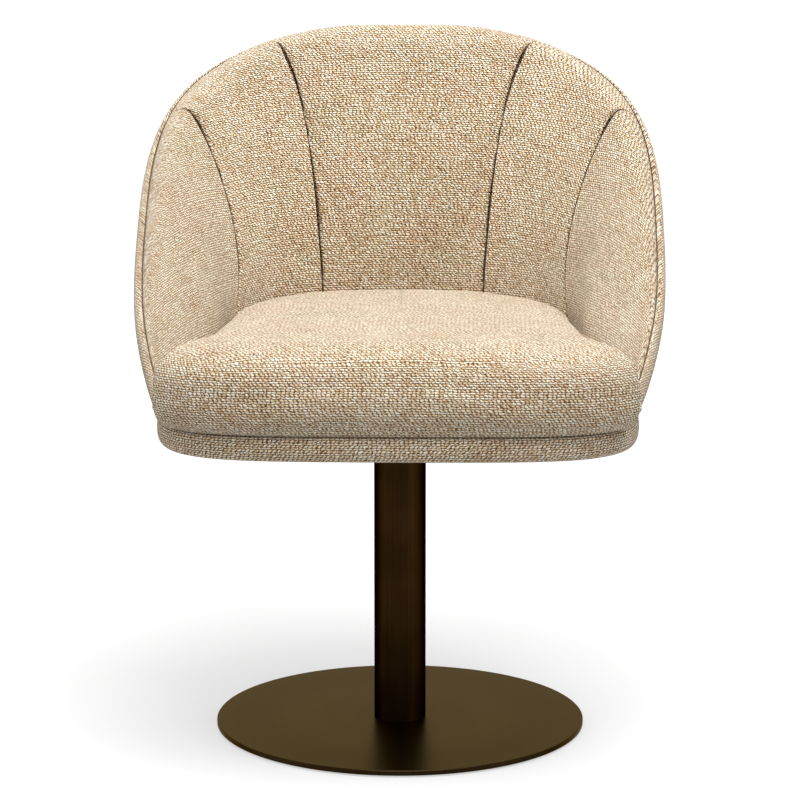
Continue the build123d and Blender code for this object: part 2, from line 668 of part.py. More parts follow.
def outer_cover():
    """Outside fabric, closed over each arm's front end by a flap with a drawn-in edge."""
    cover = Part() + loft_round(cover_section, -TUB_END_ANGLE, TUB_END_ANGLE)
    for side in (-1, 1):
        flap = [tip_section(side * (TUB_END_ANGLE + turn), inset) for turn, inset in CLOSING_FLAP]
        cover += Solid.make_loft(flap, ruled=True)
    return cover


def inner_panel(start, end):
    """A padded panel between two seams, drawn down into a valley at each of them."""
    low, high = start + SEAM_HALF_GAP, end - SEAM_HALF_GAP
    inner = stations(low + SEAM_VALLEY_ANGLE, high - SEAM_VALLEY_ANGLE)
    spans = [(low, SEAM_VALLEY)] + [(angle, 0) for angle in inner] + [(high, SEAM_VALLEY)]
    return Solid.make_loft([panel_section(angle, valley) for angle, valley in spans])


def arm_panel(side):
    """Side panel: a seam valley behind, and the fabric carried on to the arm's front end."""
    seam, tip = PANEL_SEAM_ANGLES[1] + SEAM_HALF_GAP, TUB_END_ANGLE - SEAM_HALF_GAP
    inner = stations(seam + SEAM_VALLEY_ANGLE, tip)
    spans = [(seam, SEAM_VALLEY)] + [(angle, 0) for angle in inner]
    return Solid.make_loft([panel_section(side * angle, valley) for angle, valley in spans])


# ---------------------------------------------------------------- write the parts
def build():
    near, far = PANEL_SEAM_ANGLES
    return {
        "floor_glides": floor_glides(),
        "base_disc": base_disc(),
        "foot_screws": foot_screws(),
        "column_foot": column_foot(),
        "column_tube": column_tube(),
        "bearing_hub": bearing_hub(),
        "lower_bush": bush(HUB_BOTTOM),
        "upper_bush": bush(HUB_TOP - BUSH_LENGTH),
        "thrust_washer": thrust_washer(),
        "spindle": spindle(),
        "snap_ring": snap_ring(),
        "retaining_washer": retaining_washer(),
        "swivel_plate": swivel_plate(),
        "plate_washers": plate_washers(),
        "plate_bolts": plate_bolts(),
        "tee_nuts": tee_nuts(),
        "seat_board": seat_board(),
        "edge_wrap": edge_wrap(),
        "dust_cover": dust_cover(),
        "seat_foam": seat_foam(),
        "seat_cover": seat_cover(),
        "tub_frame": tub_frame(),
        "tub_screws": tub_screws(),
        "tub_foam": tub_foam(),
        "arm_tip_foams": arm_tip_foams(),
        "outer_cover": outer_cover(),
        "back_panel_centre": inner_panel(-near, near),
        "back_panel_left": inner_panel(-far, -near),
        "back_panel_right": inner_panel(near, far),
        "arm_panel_left": arm_panel(-1),
        "arm_panel_right": arm_panel(1),
    }


def write(parts):
    os.makedirs("parts", exist_ok=True)
    for name, shape in parts.items():
        shape = Compound(children=shape) if isinstance(shape, list) else shape
        export_step(shape, f"parts/{name}.step")


write(build())
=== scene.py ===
# %% [markdown]
# # A swivel dining chair
# The real chair is an upholstered tub on a round steel column and a flat steel disc.
# The construction comes in as a fixed frame of solids. This lesson dresses it: the padded
# fabric pieces are laid, filled and drawn into their seams as an upholsterer would do it,
# and every solid that stays gets its finish. One upright section of the tub, at any angle,
# is the source of all its fabric pieces, so they meet exactly at their seams. Left and
# right in the pieces' names are the viewer's, from the front.

# %% Load the frame
from functools import partial
from math import ceil, cos, exp, floor, pi, radians, sin

import bmesh
import bpy
from mathutils import Matrix, Vector


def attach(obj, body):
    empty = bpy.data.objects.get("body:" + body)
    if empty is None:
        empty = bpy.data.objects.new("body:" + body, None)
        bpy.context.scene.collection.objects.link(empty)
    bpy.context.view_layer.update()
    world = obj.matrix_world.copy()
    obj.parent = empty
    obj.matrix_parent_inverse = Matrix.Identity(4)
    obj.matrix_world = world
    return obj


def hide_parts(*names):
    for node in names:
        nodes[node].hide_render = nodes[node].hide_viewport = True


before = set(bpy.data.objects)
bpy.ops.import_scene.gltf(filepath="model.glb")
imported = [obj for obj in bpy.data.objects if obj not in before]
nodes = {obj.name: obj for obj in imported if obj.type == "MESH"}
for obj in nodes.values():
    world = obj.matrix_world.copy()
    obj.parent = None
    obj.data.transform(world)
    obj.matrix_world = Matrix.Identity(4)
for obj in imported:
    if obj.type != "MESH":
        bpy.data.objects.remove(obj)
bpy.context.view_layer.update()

scene = bpy.context.scene
MM = 0.001

# %% [markdown]
# ## Camera
# A long lens from a little above the seat, looking down by about ten degrees and stepped
# slightly to the right, so that the back of the tub shows over its seat. It has no shift,
# so the same lens serves every other view.

# %% Camera
CAMERA_DISTANCE, CAMERA_HEIGHT = 3.2, 0.9686
CAMERA_PITCH, CAMERA_STEP = 10.37, 1.1
SENSOR_WIDTH, LENS = 36.0, 127.4

camera = bpy.data.objects.new("camera", bpy.data.cameras.new("camera"))
camera.data.lens = LENS
camera.data.sensor_width = SENSOR_WIDTH
turn = Matrix.Rotation(radians(CAMERA_STEP), 4, "Z")
place = Matrix.Translation((0, -CAMERA_DISTANCE, CAMERA_HEIGHT))
tilt = Matrix.Rotation(radians(90 - CAMERA_PITCH), 4, "X")
camera.matrix_world = turn @ place @ tilt
scene.collection.objects.link(camera)
scene.camera = camera
print("camera at", [round(value, 3) for value in camera.matrix_world.translation])

# %% [markdown]
# ## Colours and nodes
# Colours are written as the hex values a designer would note down, and one function turns
# them to the linear values that shaders use. One more function adds a shader node with its
# settings and links, and a material brings it along as `node`, bound to its own tree. Most
# finishes here are two close colours, mixed by a fine pattern.

# %% Colour and node helpers
MIX_SHARE, MIX_FROM, MIX_TO, MIX_RESULT = 0, 6, 7, 2  # a Mix node's sockets for colours


def linear(hex_colour):
    """An sRGB hex colour as the linear RGBA of a shader socket."""
    parts = [int(hex_colour[i : i + 2], 16) / 255 for i in (1, 3, 5)]
    return [c / 12.92 if c <= 0.04045 else ((c + 0.055) / 1.055) ** 2.4 for c in parts] + [1.0]


def feed(target, links):
    """Feeds a node's inputs, in their order or by name. Each link is a plain value, a
    socket, or a node whose first output is meant."""
    for socket, source in (links if isinstance(links, dict) else dict(enumerate(links))).items():
        if isinstance(source, bpy.types.Node):
            source = source.outputs[0]
        if isinstance(source, bpy.types.NodeSocket):
            target.id_data.links.new(source, target.inputs[socket])
        else:
            target.inputs[socket].default_value = source


def add_node(tree, kind, links=(), **settings):
    """A shader node with its settings and links."""
    added = tree.nodes.new("ShaderNode" + kind)
    for name, value in settings.items():
        setattr(added, name, value)
    feed(added, links)
    return added


def new_material(name, **sockets):
    """A Principled material with plain values on its shader, and what adds nodes to it."""
    material = bpy.data.materials.new(name)
    material.use_nodes = True
    shader = material.node_tree.nodes["Principled BSDF"]
    feed(shader, {socket.replace("_", " "): value for socket, value in sockets.items()})
    return material, shader, partial(add_node, material.node_tree)


def two_tone(node, value, low, high, dark, light):
    """A colour that goes from dark to light while a value goes from low to high."""
    share = node("MapRange", {"Value": value, "From Min": low, "From Max": high})
    sockets = {MIX_SHARE: share, MIX_FROM: linear(dark), MIX_TO: linear(light)}
    return node("Mix", sockets, data_type="RGBA").outputs[MIX_RESULT]


# %% [markdown]
# ## Studio
# A pale floor and a white surround. Only the rays that the camera, glass and gloss send
# out see the floor's added glow, which grows away from the chair until the floor is as
# white as the world behind it. So the picture has no horizon, the chair keeps its soft
# shadow, and none of that glow falls on the chair.

# %% Floor and world
FLOOR_SIZE, POOL_EDGE, POOL_END = 60.0, 0.5, 3.2
GLOW_NEAR, GLOW_FAR, WORLD_LIGHT = 0.56, 0.9, 0.34
FLOOR_GREY = "#B6B6B6"


def seen_directly(node):
    """1 for camera, glossy and transmission rays, and 0 for the rays that light things."""
    path = node("LightPath").outputs
    seen = node("Math", (path["Is Camera Ray"], path["Is Glossy Ray"]), operation="MAXIMUM")
    return node("Math", (seen, path["Is Transmission Ray"]), operation="MAXIMUM")


floor_material, shader, node = new_material(
    "pale_studio_floor", Base_Color=linear(FLOOR_GREY), Roughness=0.9, Specular_IOR_Level=0.0
)
spot = node("TexCoord").outputs["Object"]
away = node("VectorMath", (spot,), operation="LENGTH").outputs["Value"]
pool = {"Value": away, "From Min": POOL_EDGE, "From Max": POOL_END, "To Min": GLOW_NEAR, "To Max": GLOW_FAR}
glow = node("MapRange", pool, interpolation_type="SMOOTHSTEP")
strength = node("Math", (seen_directly(node), glow), operation="MULTIPLY")
emit = node("Emission", {"Color": (1, 1, 1, 1), "Strength": strength})
both = node("AddShader", (shader, emit))
feed(floor_material.node_tree.nodes["Material Output"], {"Surface": both})

bm = bmesh.new()
bmesh.ops.create_grid(bm, x_segments=1, y_segments=1, size=FLOOR_SIZE / 2)
floor_mesh = bpy.data.meshes.new("floor")
bm.to_mesh(floor_mesh)
bm.free()
floor_mesh.materials.append(floor_material)
floor_piece = bpy.data.objects.new("floor", floor_mesh)
scene.collection.objects.link(floor_piece)

world = bpy.data.worlds.new("studio")
scene.world = world
world.use_nodes = True
node = partial(add_node, world.node_tree)
strength = node("MapRange", {"Value": seen_directly(node), "To Min": WORLD_LIGHT, "To Max": 1.0})
feed(world.node_tree.nodes["Background"], {"Color": (1, 1, 1, 1), "Strength": strength})
scene.view_settings.view_transform = "Standard"
print("floor", FLOOR_SIZE, "m across, and a world of strength", WORLD_LIGHT)

# %% [markdown]
# The light is a big softbox high over the seat, so the seat's top is the brightest cloth
# and its upright front the darkest. Weak ones fill the sides and the back. The right one
# is low and narrow, so that it draws a long highlight on the round column.

# %% Lamps
# Each has its name, place, aim, width and height in metres, and power in watts.
SOFTBOXES = (
    ("overhead_softbox", (0.25, -0.5, 2.6), (0, 0, 0.45), 1.9, 1.7, 84),
    ("left_softbox", (-2.5, -0.9, 0.9), (0, 0, 0.5), 1.4, 1.4, 14),
    ("right_softbox", (2.0, -1.35, 0.4), (0, 0, 0.25), 0.35, 0.7, 8),
    ("rear_softbox", (-0.5, 2.3, 2.4), (0, 0, 0.5), 1.6, 1.2, 14),
)
for name, place, aim, width, height, power in SOFTBOXES:
    lamp = bpy.data.objects.new(name, bpy.data.lights.new(name, "AREA"))
    lamp.data.shape = "RECTANGLE"
    lamp.data.size = width
    lamp.data.size_y = height
    lamp.data.energy = power
    lamp.location = place
    lamp.rotation_euler = (Vector(aim) - Vector(place)).to_track_quat("-Z", "Y").to_euler()
    scene.collection.objects.link(lamp)
print("lamps", [name for name, *_ in SOFTBOXES])

# %% [markdown]
# ## The tub's shape
# Seen from above, the tub follows a superellipse behind and an ellipse along the arms. Its
# rim falls in one smooth sweep from the middle of the back to the arms' front ends. The
# sizes below are the real ones, in millimetres, and an angle is measured from the middle
# of the back, positive to the sitter's left.

# %% Driving sizes
BOARD_TOP, BOARD_BOTTOM, BAND_BOTTOM, SEAT_HEIGHT = 392, 368, 363, 487
RIM_HEIGHTS = ((0, 801), (25, 792), (50, 742), (75, 650), (100, 526), (115, 474), (127, 426))
TUB_END, FOOT_INSET = 127, 2
RIM_HALF_WIDTH, RIM_REAR, RIM_FRONT_REACH, RIM_SQUARENESS = 301, 287, 403, 2.85
WELL_HALF_WIDTH, WELL_REAR, WELL_SQUARENESS, ARM_FLARE, ARM_TIP_FLARE = 205, 200, 2.3, 0.12, 18
BASE_HALF_WIDTH, BASE_REAR, BASE_FRONT, FRONT_BOW, BOW_END = 268, 252, 264, 5, 45
REAR_SQUARENESS, FRONT_SQUARENESS = 2.5, 4.8
RIM_THICKNESS_BACK, RIM_THICKNESS_TIP, RIM_THINNING_START = 34, 29, 60
SHOULDER_DROP, SEAM_INSET, SEAM_DROP = 16, 9, 3

# Shares that place the Bezier points of an upright section, and their smallest sizes.
WALL_LOW_SPREAD, WALL_LOW_RISE, WALL_HIGH_SPREAD, WALL_HIGH_RISE = 0.15, 0.34, 0.24, 0.77
SHOULDER_STRAIGHT, SHOULDER_TURN, SHOULDER_FALL = 0.55, 0.4, 0.8
RIM_ROLL, CREST_WIDTH, CREST_RISE, CREST_REACH = 0.42, 0.36, 1.5, 0.45
SLOPE_AIM, SLOPE_LEAST, INNER_REACH, INNER_REACH_LEAST = 20, 0.25, 0.22, 6
LUMBAR_RISE, LUMBAR_MOST, LUMBAR_BULGE, LUMBAR_SIDE_BULGE = 0.34, 0.7, 1, 3
HIP_DROP, HIP_FALL, HIP_MOST, HIP_BULGE = 25, 0.05, 0.38, 2
print("seat height", SEAT_HEIGHT, "and rim", RIM_HEIGHTS[0][1], "to", RIM_HEIGHTS[-1][1])


# %% Plan curves
def point(angle, radius, height):
    """The point that far from the swivel axis, in the upright plane at that angle."""
    return Vector((radius * sin(radians(angle)), radius * cos(radians(angle)), height)) * MM


def oval(angle, half_width, half_depth, squareness):
    """Radius of a superellipse seen from above."""
    across = abs(sin(radians(angle))) / half_width
    along = abs(cos(radians(angle))) / half_depth
    return (across**squareness + along**squareness) ** (-1 / squareness)


def base_radius(angle):
    """Outer edge of the wrapped seat base."""
    if abs(angle) <= 90:
        return oval(angle, BASE_HALF_WIDTH, BASE_REAR, REAR_SQUARENESS)
    from_front = abs(180 - abs(angle))
    bow = FRONT_BOW * cos(radians(90 * min(from_front / BOW_END, 1)))
    return oval(angle, BASE_HALF_WIDTH, BASE_FRONT, FRONT_SQUARENESS) + bow


def rim_radius(angle):
    """Widest line of the tub, just under its rim."""
    if abs(angle) <= 90:
        return oval(angle, RIM_HALF_WIDTH, RIM_REAR, RIM_SQUARENESS)
    return oval(angle, RIM_HALF_WIDTH, RIM_FRONT_REACH, 2)


def well_radius(angle):
    """Inside of the tub at the height of the seat."""
    if abs(angle) <= 90:
        return oval(angle, WELL_HALF_WIDTH, WELL_REAR, WELL_SQUARENESS)
    across, along = abs(sin(radians(angle))), abs(cos(radians(angle)))
    towards_tip = (abs(angle) - 90) / (TUB_END - 90)
    return WELL_HALF_WIDTH / (across - ARM_FLARE * along) + ARM_TIP_FLARE * towards_tip**4


def rim_height(angle):
    """Height of the rim's crest: a smooth curve through RIM_HEIGHTS."""
    angle = abs(angle)
    knots = [(-a, h) for a, h in RIM_HEIGHTS[1:2]] + list(RIM_HEIGHTS)
    last, before = RIM_HEIGHTS[-1], RIM_HEIGHTS[-2]
    knots.append((2 * last[0] - before[0], 2 * last[1] - before[1]))
    spans = range(1, len(knots) - 2)
    i = next((k for k in spans if angle <= knots[k + 1][0]), spans[-1])
    (a0, h0), (a1, h1), (a2, h2), (a3, h3) = knots[i - 1 : i + 3]
    t = (angle - a1) / (a2 - a1)
    start, end = (h2 - h0) / (a2 - a0) * (a2 - a1), (h3 - h1) / (a3 - a1) * (a2 - a1)
    rise = 3 * t**2 - 2 * t**3
    return (1 - rise) * h1 + rise * h2 + (t**3 - 2 * t**2 + t) * start + (t**3 - t**2) * end


def smooth_step(value, start, end):
    """0 up to `start`, 1 from `end` on, and a smooth rise between them."""
    t = min(max((value - start) / (end - start), 0), 1)
    return t * t * (3 - 2 * t)


print("rim height at the back, sides and arm ends", [round(rim_height(a)) for a in (0, 90, TUB_END)])

# %% [markdown]
# An upright section gives the tub's skin at one angle: outside, from the foot up to the
# seam under the rim, and inside, from that seam over the crest and down to the seat board.
# Its Bezier curves are the ones that a loft would follow. `TubFace` keeps a section for
# every degree, so that any point of the skin is quick to find.

# %% Upright sections
CURVE_STEPS, LINE_STEPS = 30, 200
ALONG_CURVE = [i / CURVE_STEPS for i in range(CURVE_STEPS + 1)]


def bezier(points, t):
    """A point on a Bezier curve of any degree."""
    while len(points) > 1:
        points = [(p[0] + (q[0] - p[0]) * t, p[1] + (q[1] - p[1]) * t) for p, q in zip(points, points[1:])]
    return points[0]


class Section:
    """An upright section through the tub, as (radius, height) runs in millimetres."""

    def __init__(self, angle):
        tip = max(0.0, (abs(angle) - RIM_THINNING_START) / (TUB_END - RIM_THINNING_START))
        self.side = sin(radians(min(abs(angle), 90))) ** 2
        self.crest, self.rim = rim_height(angle), rim_radius(angle)
        self.foot, self.well = base_radius(angle) - FOOT_INSET, well_radius(angle)
        self.thickness = RIM_THICKNESS_BACK + (RIM_THICKNESS_TIP - RIM_THICKNESS_BACK) * tip

    def outside(self):
        """From the foot up to the shoulder, and over the shoulder to the rim seam."""
        shoulder = self.crest - SHOULDER_DROP
        rise, spread = shoulder - BOARD_TOP, self.rim - self.foot
        wall = [
            (self.foot, BOARD_TOP),
            (self.foot + WALL_LOW_SPREAD * spread * self.side, BOARD_TOP + WALL_LOW_RISE * rise),
            (self.rim - WALL_HIGH_SPREAD * spread * (1 - self.side), BOARD_TOP + WALL_HIGH_RISE * rise),
            (self.rim, shoulder),
        ]
        turn = [
            (self.rim, shoulder),
            (self.rim, self.crest - SHOULDER_STRAIGHT * SHOULDER_DROP),
            (self.rim - SHOULDER_TURN * SEAM_INSET, self.crest - SEAM_DROP - SHOULDER_FALL),
            (self.rim - SEAM_INSET, self.crest - SEAM_DROP),
        ]
        return [wall, turn]

    def inside(self):
        """From the rim seam over the crest and down the inner face to the board."""
        start = (self.rim - self.thickness, self.crest - RIM_ROLL * self.thickness)
        span, above = start[1] - BOARD_TOP, max(start[1] - SEAT_HEIGHT, 0)
        run, drop = start[0] - self.well, max(start[1] - SEAT_HEIGHT + SLOPE_AIM, SLOPE_LEAST * span)
        length = (run**2 + drop**2) ** 0.5
        slope = (-run / length, -drop / length)
        back, ahead = CREST_REACH * self.thickness, INNER_REACH * above + INNER_REACH_LEAST
        lumbar = min(SEAT_HEIGHT + LUMBAR_RISE * above, BOARD_TOP + LUMBAR_MOST * span)
        hip = min(SEAT_HEIGHT - HIP_DROP - HIP_FALL * above, BOARD_TOP + HIP_MOST * span)
        crest = [
            (self.rim - SEAM_INSET, self.crest - SEAM_DROP),
            (self.rim - SEAM_INSET - CREST_WIDTH * self.thickness, self.crest + CREST_RISE),
            (start[0] - slope[0] * back, start[1] - slope[1] * back),
            start,
        ]
        face = [
            start,
            (start[0] + slope[0] * ahead, start[1] + slope[1] * ahead),
            (self.well - LUMBAR_BULGE - LUMBAR_SIDE_BULGE * self.side, lumbar),
            (self.well - HIP_BULGE, hip),
            (self.well, BOARD_TOP),
        ]
        return [crest, face]


def evenly(points, count):
    """The length of a line of (radius, height) points, and `count` + 1 even points along it."""
    lengths = [0.0]
    for p, q in zip(points, points[1:]):
        lengths.append(lengths[-1] + ((q[0] - p[0]) ** 2 + (q[1] - p[1]) ** 2) ** 0.5)
    even, i = [], 0
    for k in range(count + 1):
        target = lengths[-1] * k / count
        while i < len(points) - 2 and lengths[i + 1] < target:
            i += 1
        t = (target - lengths[i]) / max(lengths[i + 1] - lengths[i], 1e-9)
        even.append(tuple(a + (b - a) * min(t, 1) for a, b in zip(points[i], points[i + 1])))
    return lengths[-1], even


class TubFace:
    """One face of the tub, as a sheet: a share of 0 is the start of its sections, 1 their end."""

    def __init__(self, runs_at):
        self.lengths, self.lines = {}, {}
        for angle in range(-TUB_END, TUB_END + 1):
            points = [bezier(run, t) for run in runs_at(Section(angle)) for t in ALONG_CURVE]
            self.lengths[angle], self.lines[angle] = evenly(points, LINE_STEPS)

    def spot(self, angle, share):
        """(radius, height) in millimetres."""
        low = min(max(floor(angle), -TUB_END), TUB_END - 1)
        i = min(int(share * LINE_STEPS), LINE_STEPS - 1)
        s, t = share * LINE_STEPS - i, angle - low
        a, b = self.lines[low], self.lines[low + 1]
        corners = ((a[i], (1 - s) * (1 - t)), (a[i + 1], s * (1 - t)), (b[i], (1 - s) * t), (b[i + 1], s * t))
        return tuple(sum(weight * corner[k] for corner, weight in corners) for k in (0, 1))

    def place(self, angle, share):
        """The point of the face, in metres."""
        return point(angle, *self.spot(angle, share))


OUTSIDE, INSIDE = TubFace(Section.outside), TubFace(Section.inside)
print("cloth up the back, mm: outside", round(OUTSIDE.lengths[0]), "inside", round(INSIDE.lengths[0]))

# %% [markdown]
# ## Sewing room
# Every fabric piece starts as a flat grid, as the cloth does. It is laid on its shape, and
# measured as a tailor would, up each column and across each row: those lengths are its UVs,
# so the weave runs true and keeps its size. Then it is filled: a cloth simulation blows the
# skin up against its held edges. Last, its edges are drawn down into the seams.

# %% Laying and measuring cloth
JOIN_WITHIN = 0.01 * MM


def laid_cloth(columns, rows, lay):
    """A flat grid laid on a shape: lay(a, b) gives the place for a of the way across and b up."""
    bm = bmesh.new()
    bm.loops.layers.uv.new("cloth")
    bmesh.ops.create_grid(bm, x_segments=columns, y_segments=rows, size=0.5)
    grid = {(round((v.co.x + 0.5) * columns), round((v.co.y + 0.5) * rows)): v for v in bm.verts}
    for (i, j), v in grid.items():
        v.co = lay(i / columns, j / rows)
    return bm, grid


def measured(grid, start=0.5):
    """Lengths across each row, from the column at `start`, and up each column, in metres."""
    columns, rows = max(i for i, _ in grid), max(j for _, j in grid)
    middle = round(start * columns)
    across, up = {}, {}
    for j in range(rows + 1):
        across[middle, j] = 0.0
        for i in range(middle + 1, columns + 1):
            across[i, j] = across[i - 1, j] + (grid[i, j].co - grid[i - 1, j].co).length
        for i in range(middle - 1, -1, -1):
            across[i, j] = across[i + 1, j] - (grid[i, j].co - grid[i + 1, j].co).length
    for i in range(columns + 1):
        up[i, 0] = 0.0
        for j in range(1, rows + 1):
            up[i, j] = up[i, j - 1] + (grid[i, j].co - grid[i, j - 1].co).length
    return across, up


def set_cloth(bm, grid, cloth_at):
    """Writes the UVs: cloth_at(i, j) is a point's place on the flat cloth, in metres."""
    uv = bm.loops.layers.uv["cloth"]
    for (i, j), v in grid.items():
        place_on_cloth = cloth_at(i, j)
        for corner in v.link_loops:
            corner[uv].uv = place_on_cloth


def faced(bm, target, towards=True):
    """Turns an open sheet's faces towards a point, or away from it."""
    bm.normal_update()
    score = sum(f.calc_area() * f.normal.dot(target - f.calc_center_median()) for f in bm.faces)
    if (score > 0) != towards:
        bmesh.ops.reverse_faces(bm, faces=bm.faces)


def closed_up(bm):
    """Joins a grid's meeting edges and points its faces outwards."""
    bmesh.ops.remove_doubles(bm, verts=bm.verts, dist=JOIN_WITHIN)
    bmesh.ops.recalc_face_normals(bm, faces=bm.faces)


def finished(bm, name, material, replaced=()):
    """Turns a bmesh into a smooth piece that rides on the seat."""
    mesh = bpy.data.meshes.new(name)
    bm.verts.index_update()
    bm.to_mesh(mesh)
    bm.free()
    mesh.materials.append(material)
    mesh.shade_smooth()
    piece = bpy.data.objects.new(name, mesh)
    scene.collection.objects.link(piece)
    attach(piece, "seat")
    if replaced:
        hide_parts(*replaced)
    return piece


# %% Filling and sewing
FILL_FRAMES = 16


def filled(piece, held, pressure, cap_mm):
    """Presses a skin outwards from behind. Held points stay, and none moves beyond the cap."""
    group = piece.vertex_groups.new(name="held")
    group.add(held, 1.0, "REPLACE")
    cloth = piece.modifiers.new("filling", "CLOTH")
    cloth.settings.vertex_group_mass = "held"
    cloth.settings.use_pressure = True
    cloth.settings.uniform_pressure_force = pressure
    cloth.settings.effector_weights.gravity = 0
    cloth.point_cache.frame_end = FILL_FRAMES
    for step in range(1, FILL_FRAMES + 1):
        scene.frame_set(step)
    blown = piece.evaluated_get(bpy.context.evaluated_depsgraph_get()).to_mesh()
    moves = [after.co - before.co for before, after in zip(piece.data.vertices, blown.vertices)]
    piece.modifiers.remove(cloth)
    piece.vertex_groups.remove(group)
    scene.frame_set(1)
    cap, largest = cap_mm * MM, max(move.length for move in moves)
    for v, move in zip(piece.data.vertices, moves):
        if move.length > 0:
            v.co += move.normalized() * cap * (1 - exp(-move.length / cap))
    piece.data.update()
    print(piece.name, "filled, free swell in mm", round(largest / MM, 1))


def drawn_in(piece, depth_at):
    """Sinks points of a skin along their normals. depth_at gives a depth in mm by point number."""
    moves = [v.normal * depth_at(v.index) * MM for v in piece.data.vertices]
    for v, move in zip(piece.data.vertices, moves):
        v.co -= move
    piece.data.update()


def pillow_edge(distance, depth, width):
    """Depth of a padded edge at a distance from its seam: a quarter of an ellipse, in mm."""
    t = 1 - min(distance / width, 1)
    return depth * (1 - (1 - t * t) ** 0.5)


def padded_behind(piece, thickness, levels=0):
    """Gives a skin its wadding behind, and smooths it."""
    wall = piece.modifiers.new("wadding", "SOLIDIFY")
    wall.thickness = thickness * MM
    wall.offset = -1
    if levels:
        smooth = piece.modifiers.new("smooth", "SUBSURF")
        smooth.levels = levels
        smooth.render_levels = levels


# %% [markdown]
# ## Fabric
# The cloth is a chunky plain-woven upholstery fabric of cream, sand and taupe yarns. Rows
# of short slanted knots alternate with rows of thinner, longer floats, about 5.4 mm for the
# pair, laid like bricks. The colour follows each yarn's height, so it is darkest in the gaps
# between the yarns and palest on their tops: the dark in the gaps is partly the taupe yarns
# and partly painted shade. A noise texture would look like plaster, so the pattern is
# worked out yarn by yarn: a row number, a knot number within the row, and a rounded yarn in
# each such cell. Random numbers for each row and each knot stop the eye from finding a grid.

# %% Woven fabric
# Sizes are in mm, slips and slants in knots, and the rest are shares.
PAIR_HEIGHT, KNOT_SHARE, KNOT_PITCH, KNOT_SLANT = 5.4, 0.62, 4.8, 0.5
ROW_SLIP, BRICK_SLIP, YARN_WANDER, WANDER_SIZE = 0.5, 0.5, 1.9, 4.5
KNOT_SHARPNESS, FLOAT_SHARPER, SIDE_SHARPNESS, YARN_ROUNDNESS = 1.8, 3.5, 2.4, 0.62
KNOT_LOFT, FLOAT_LOFT_LESS, LOFT_CHANCE = 0.72, 0.03, 0.4
SLUB_SIZE, SLUB_TONE, FIBRE_SIZE, FIBRE_TONE, FIBRE_RELIEF = 2.6, 0.5, 0.55, 0.3, 0.25
CLOUD_SIZE, CLOUD_TONE, CLOUD_TINTS = 70.0, 0.16, ("#FFF3EC", "#F8FFF4")
YARN_RELIEF, RELIEF_STRENGTH = 1.7, 0.9
# From the gaps up to the yarns' tops. The dark end is partly the taupe yarns and partly painted shade.
YARN_COLOURS_AND_GAP_SHADE = (
    (0.0, "#563820"), (0.25, "#8E6B49"), (0.5, "#CBAC86"), (0.78, "#F3E2C9"), (1.0, "#FFFBF3"),
)


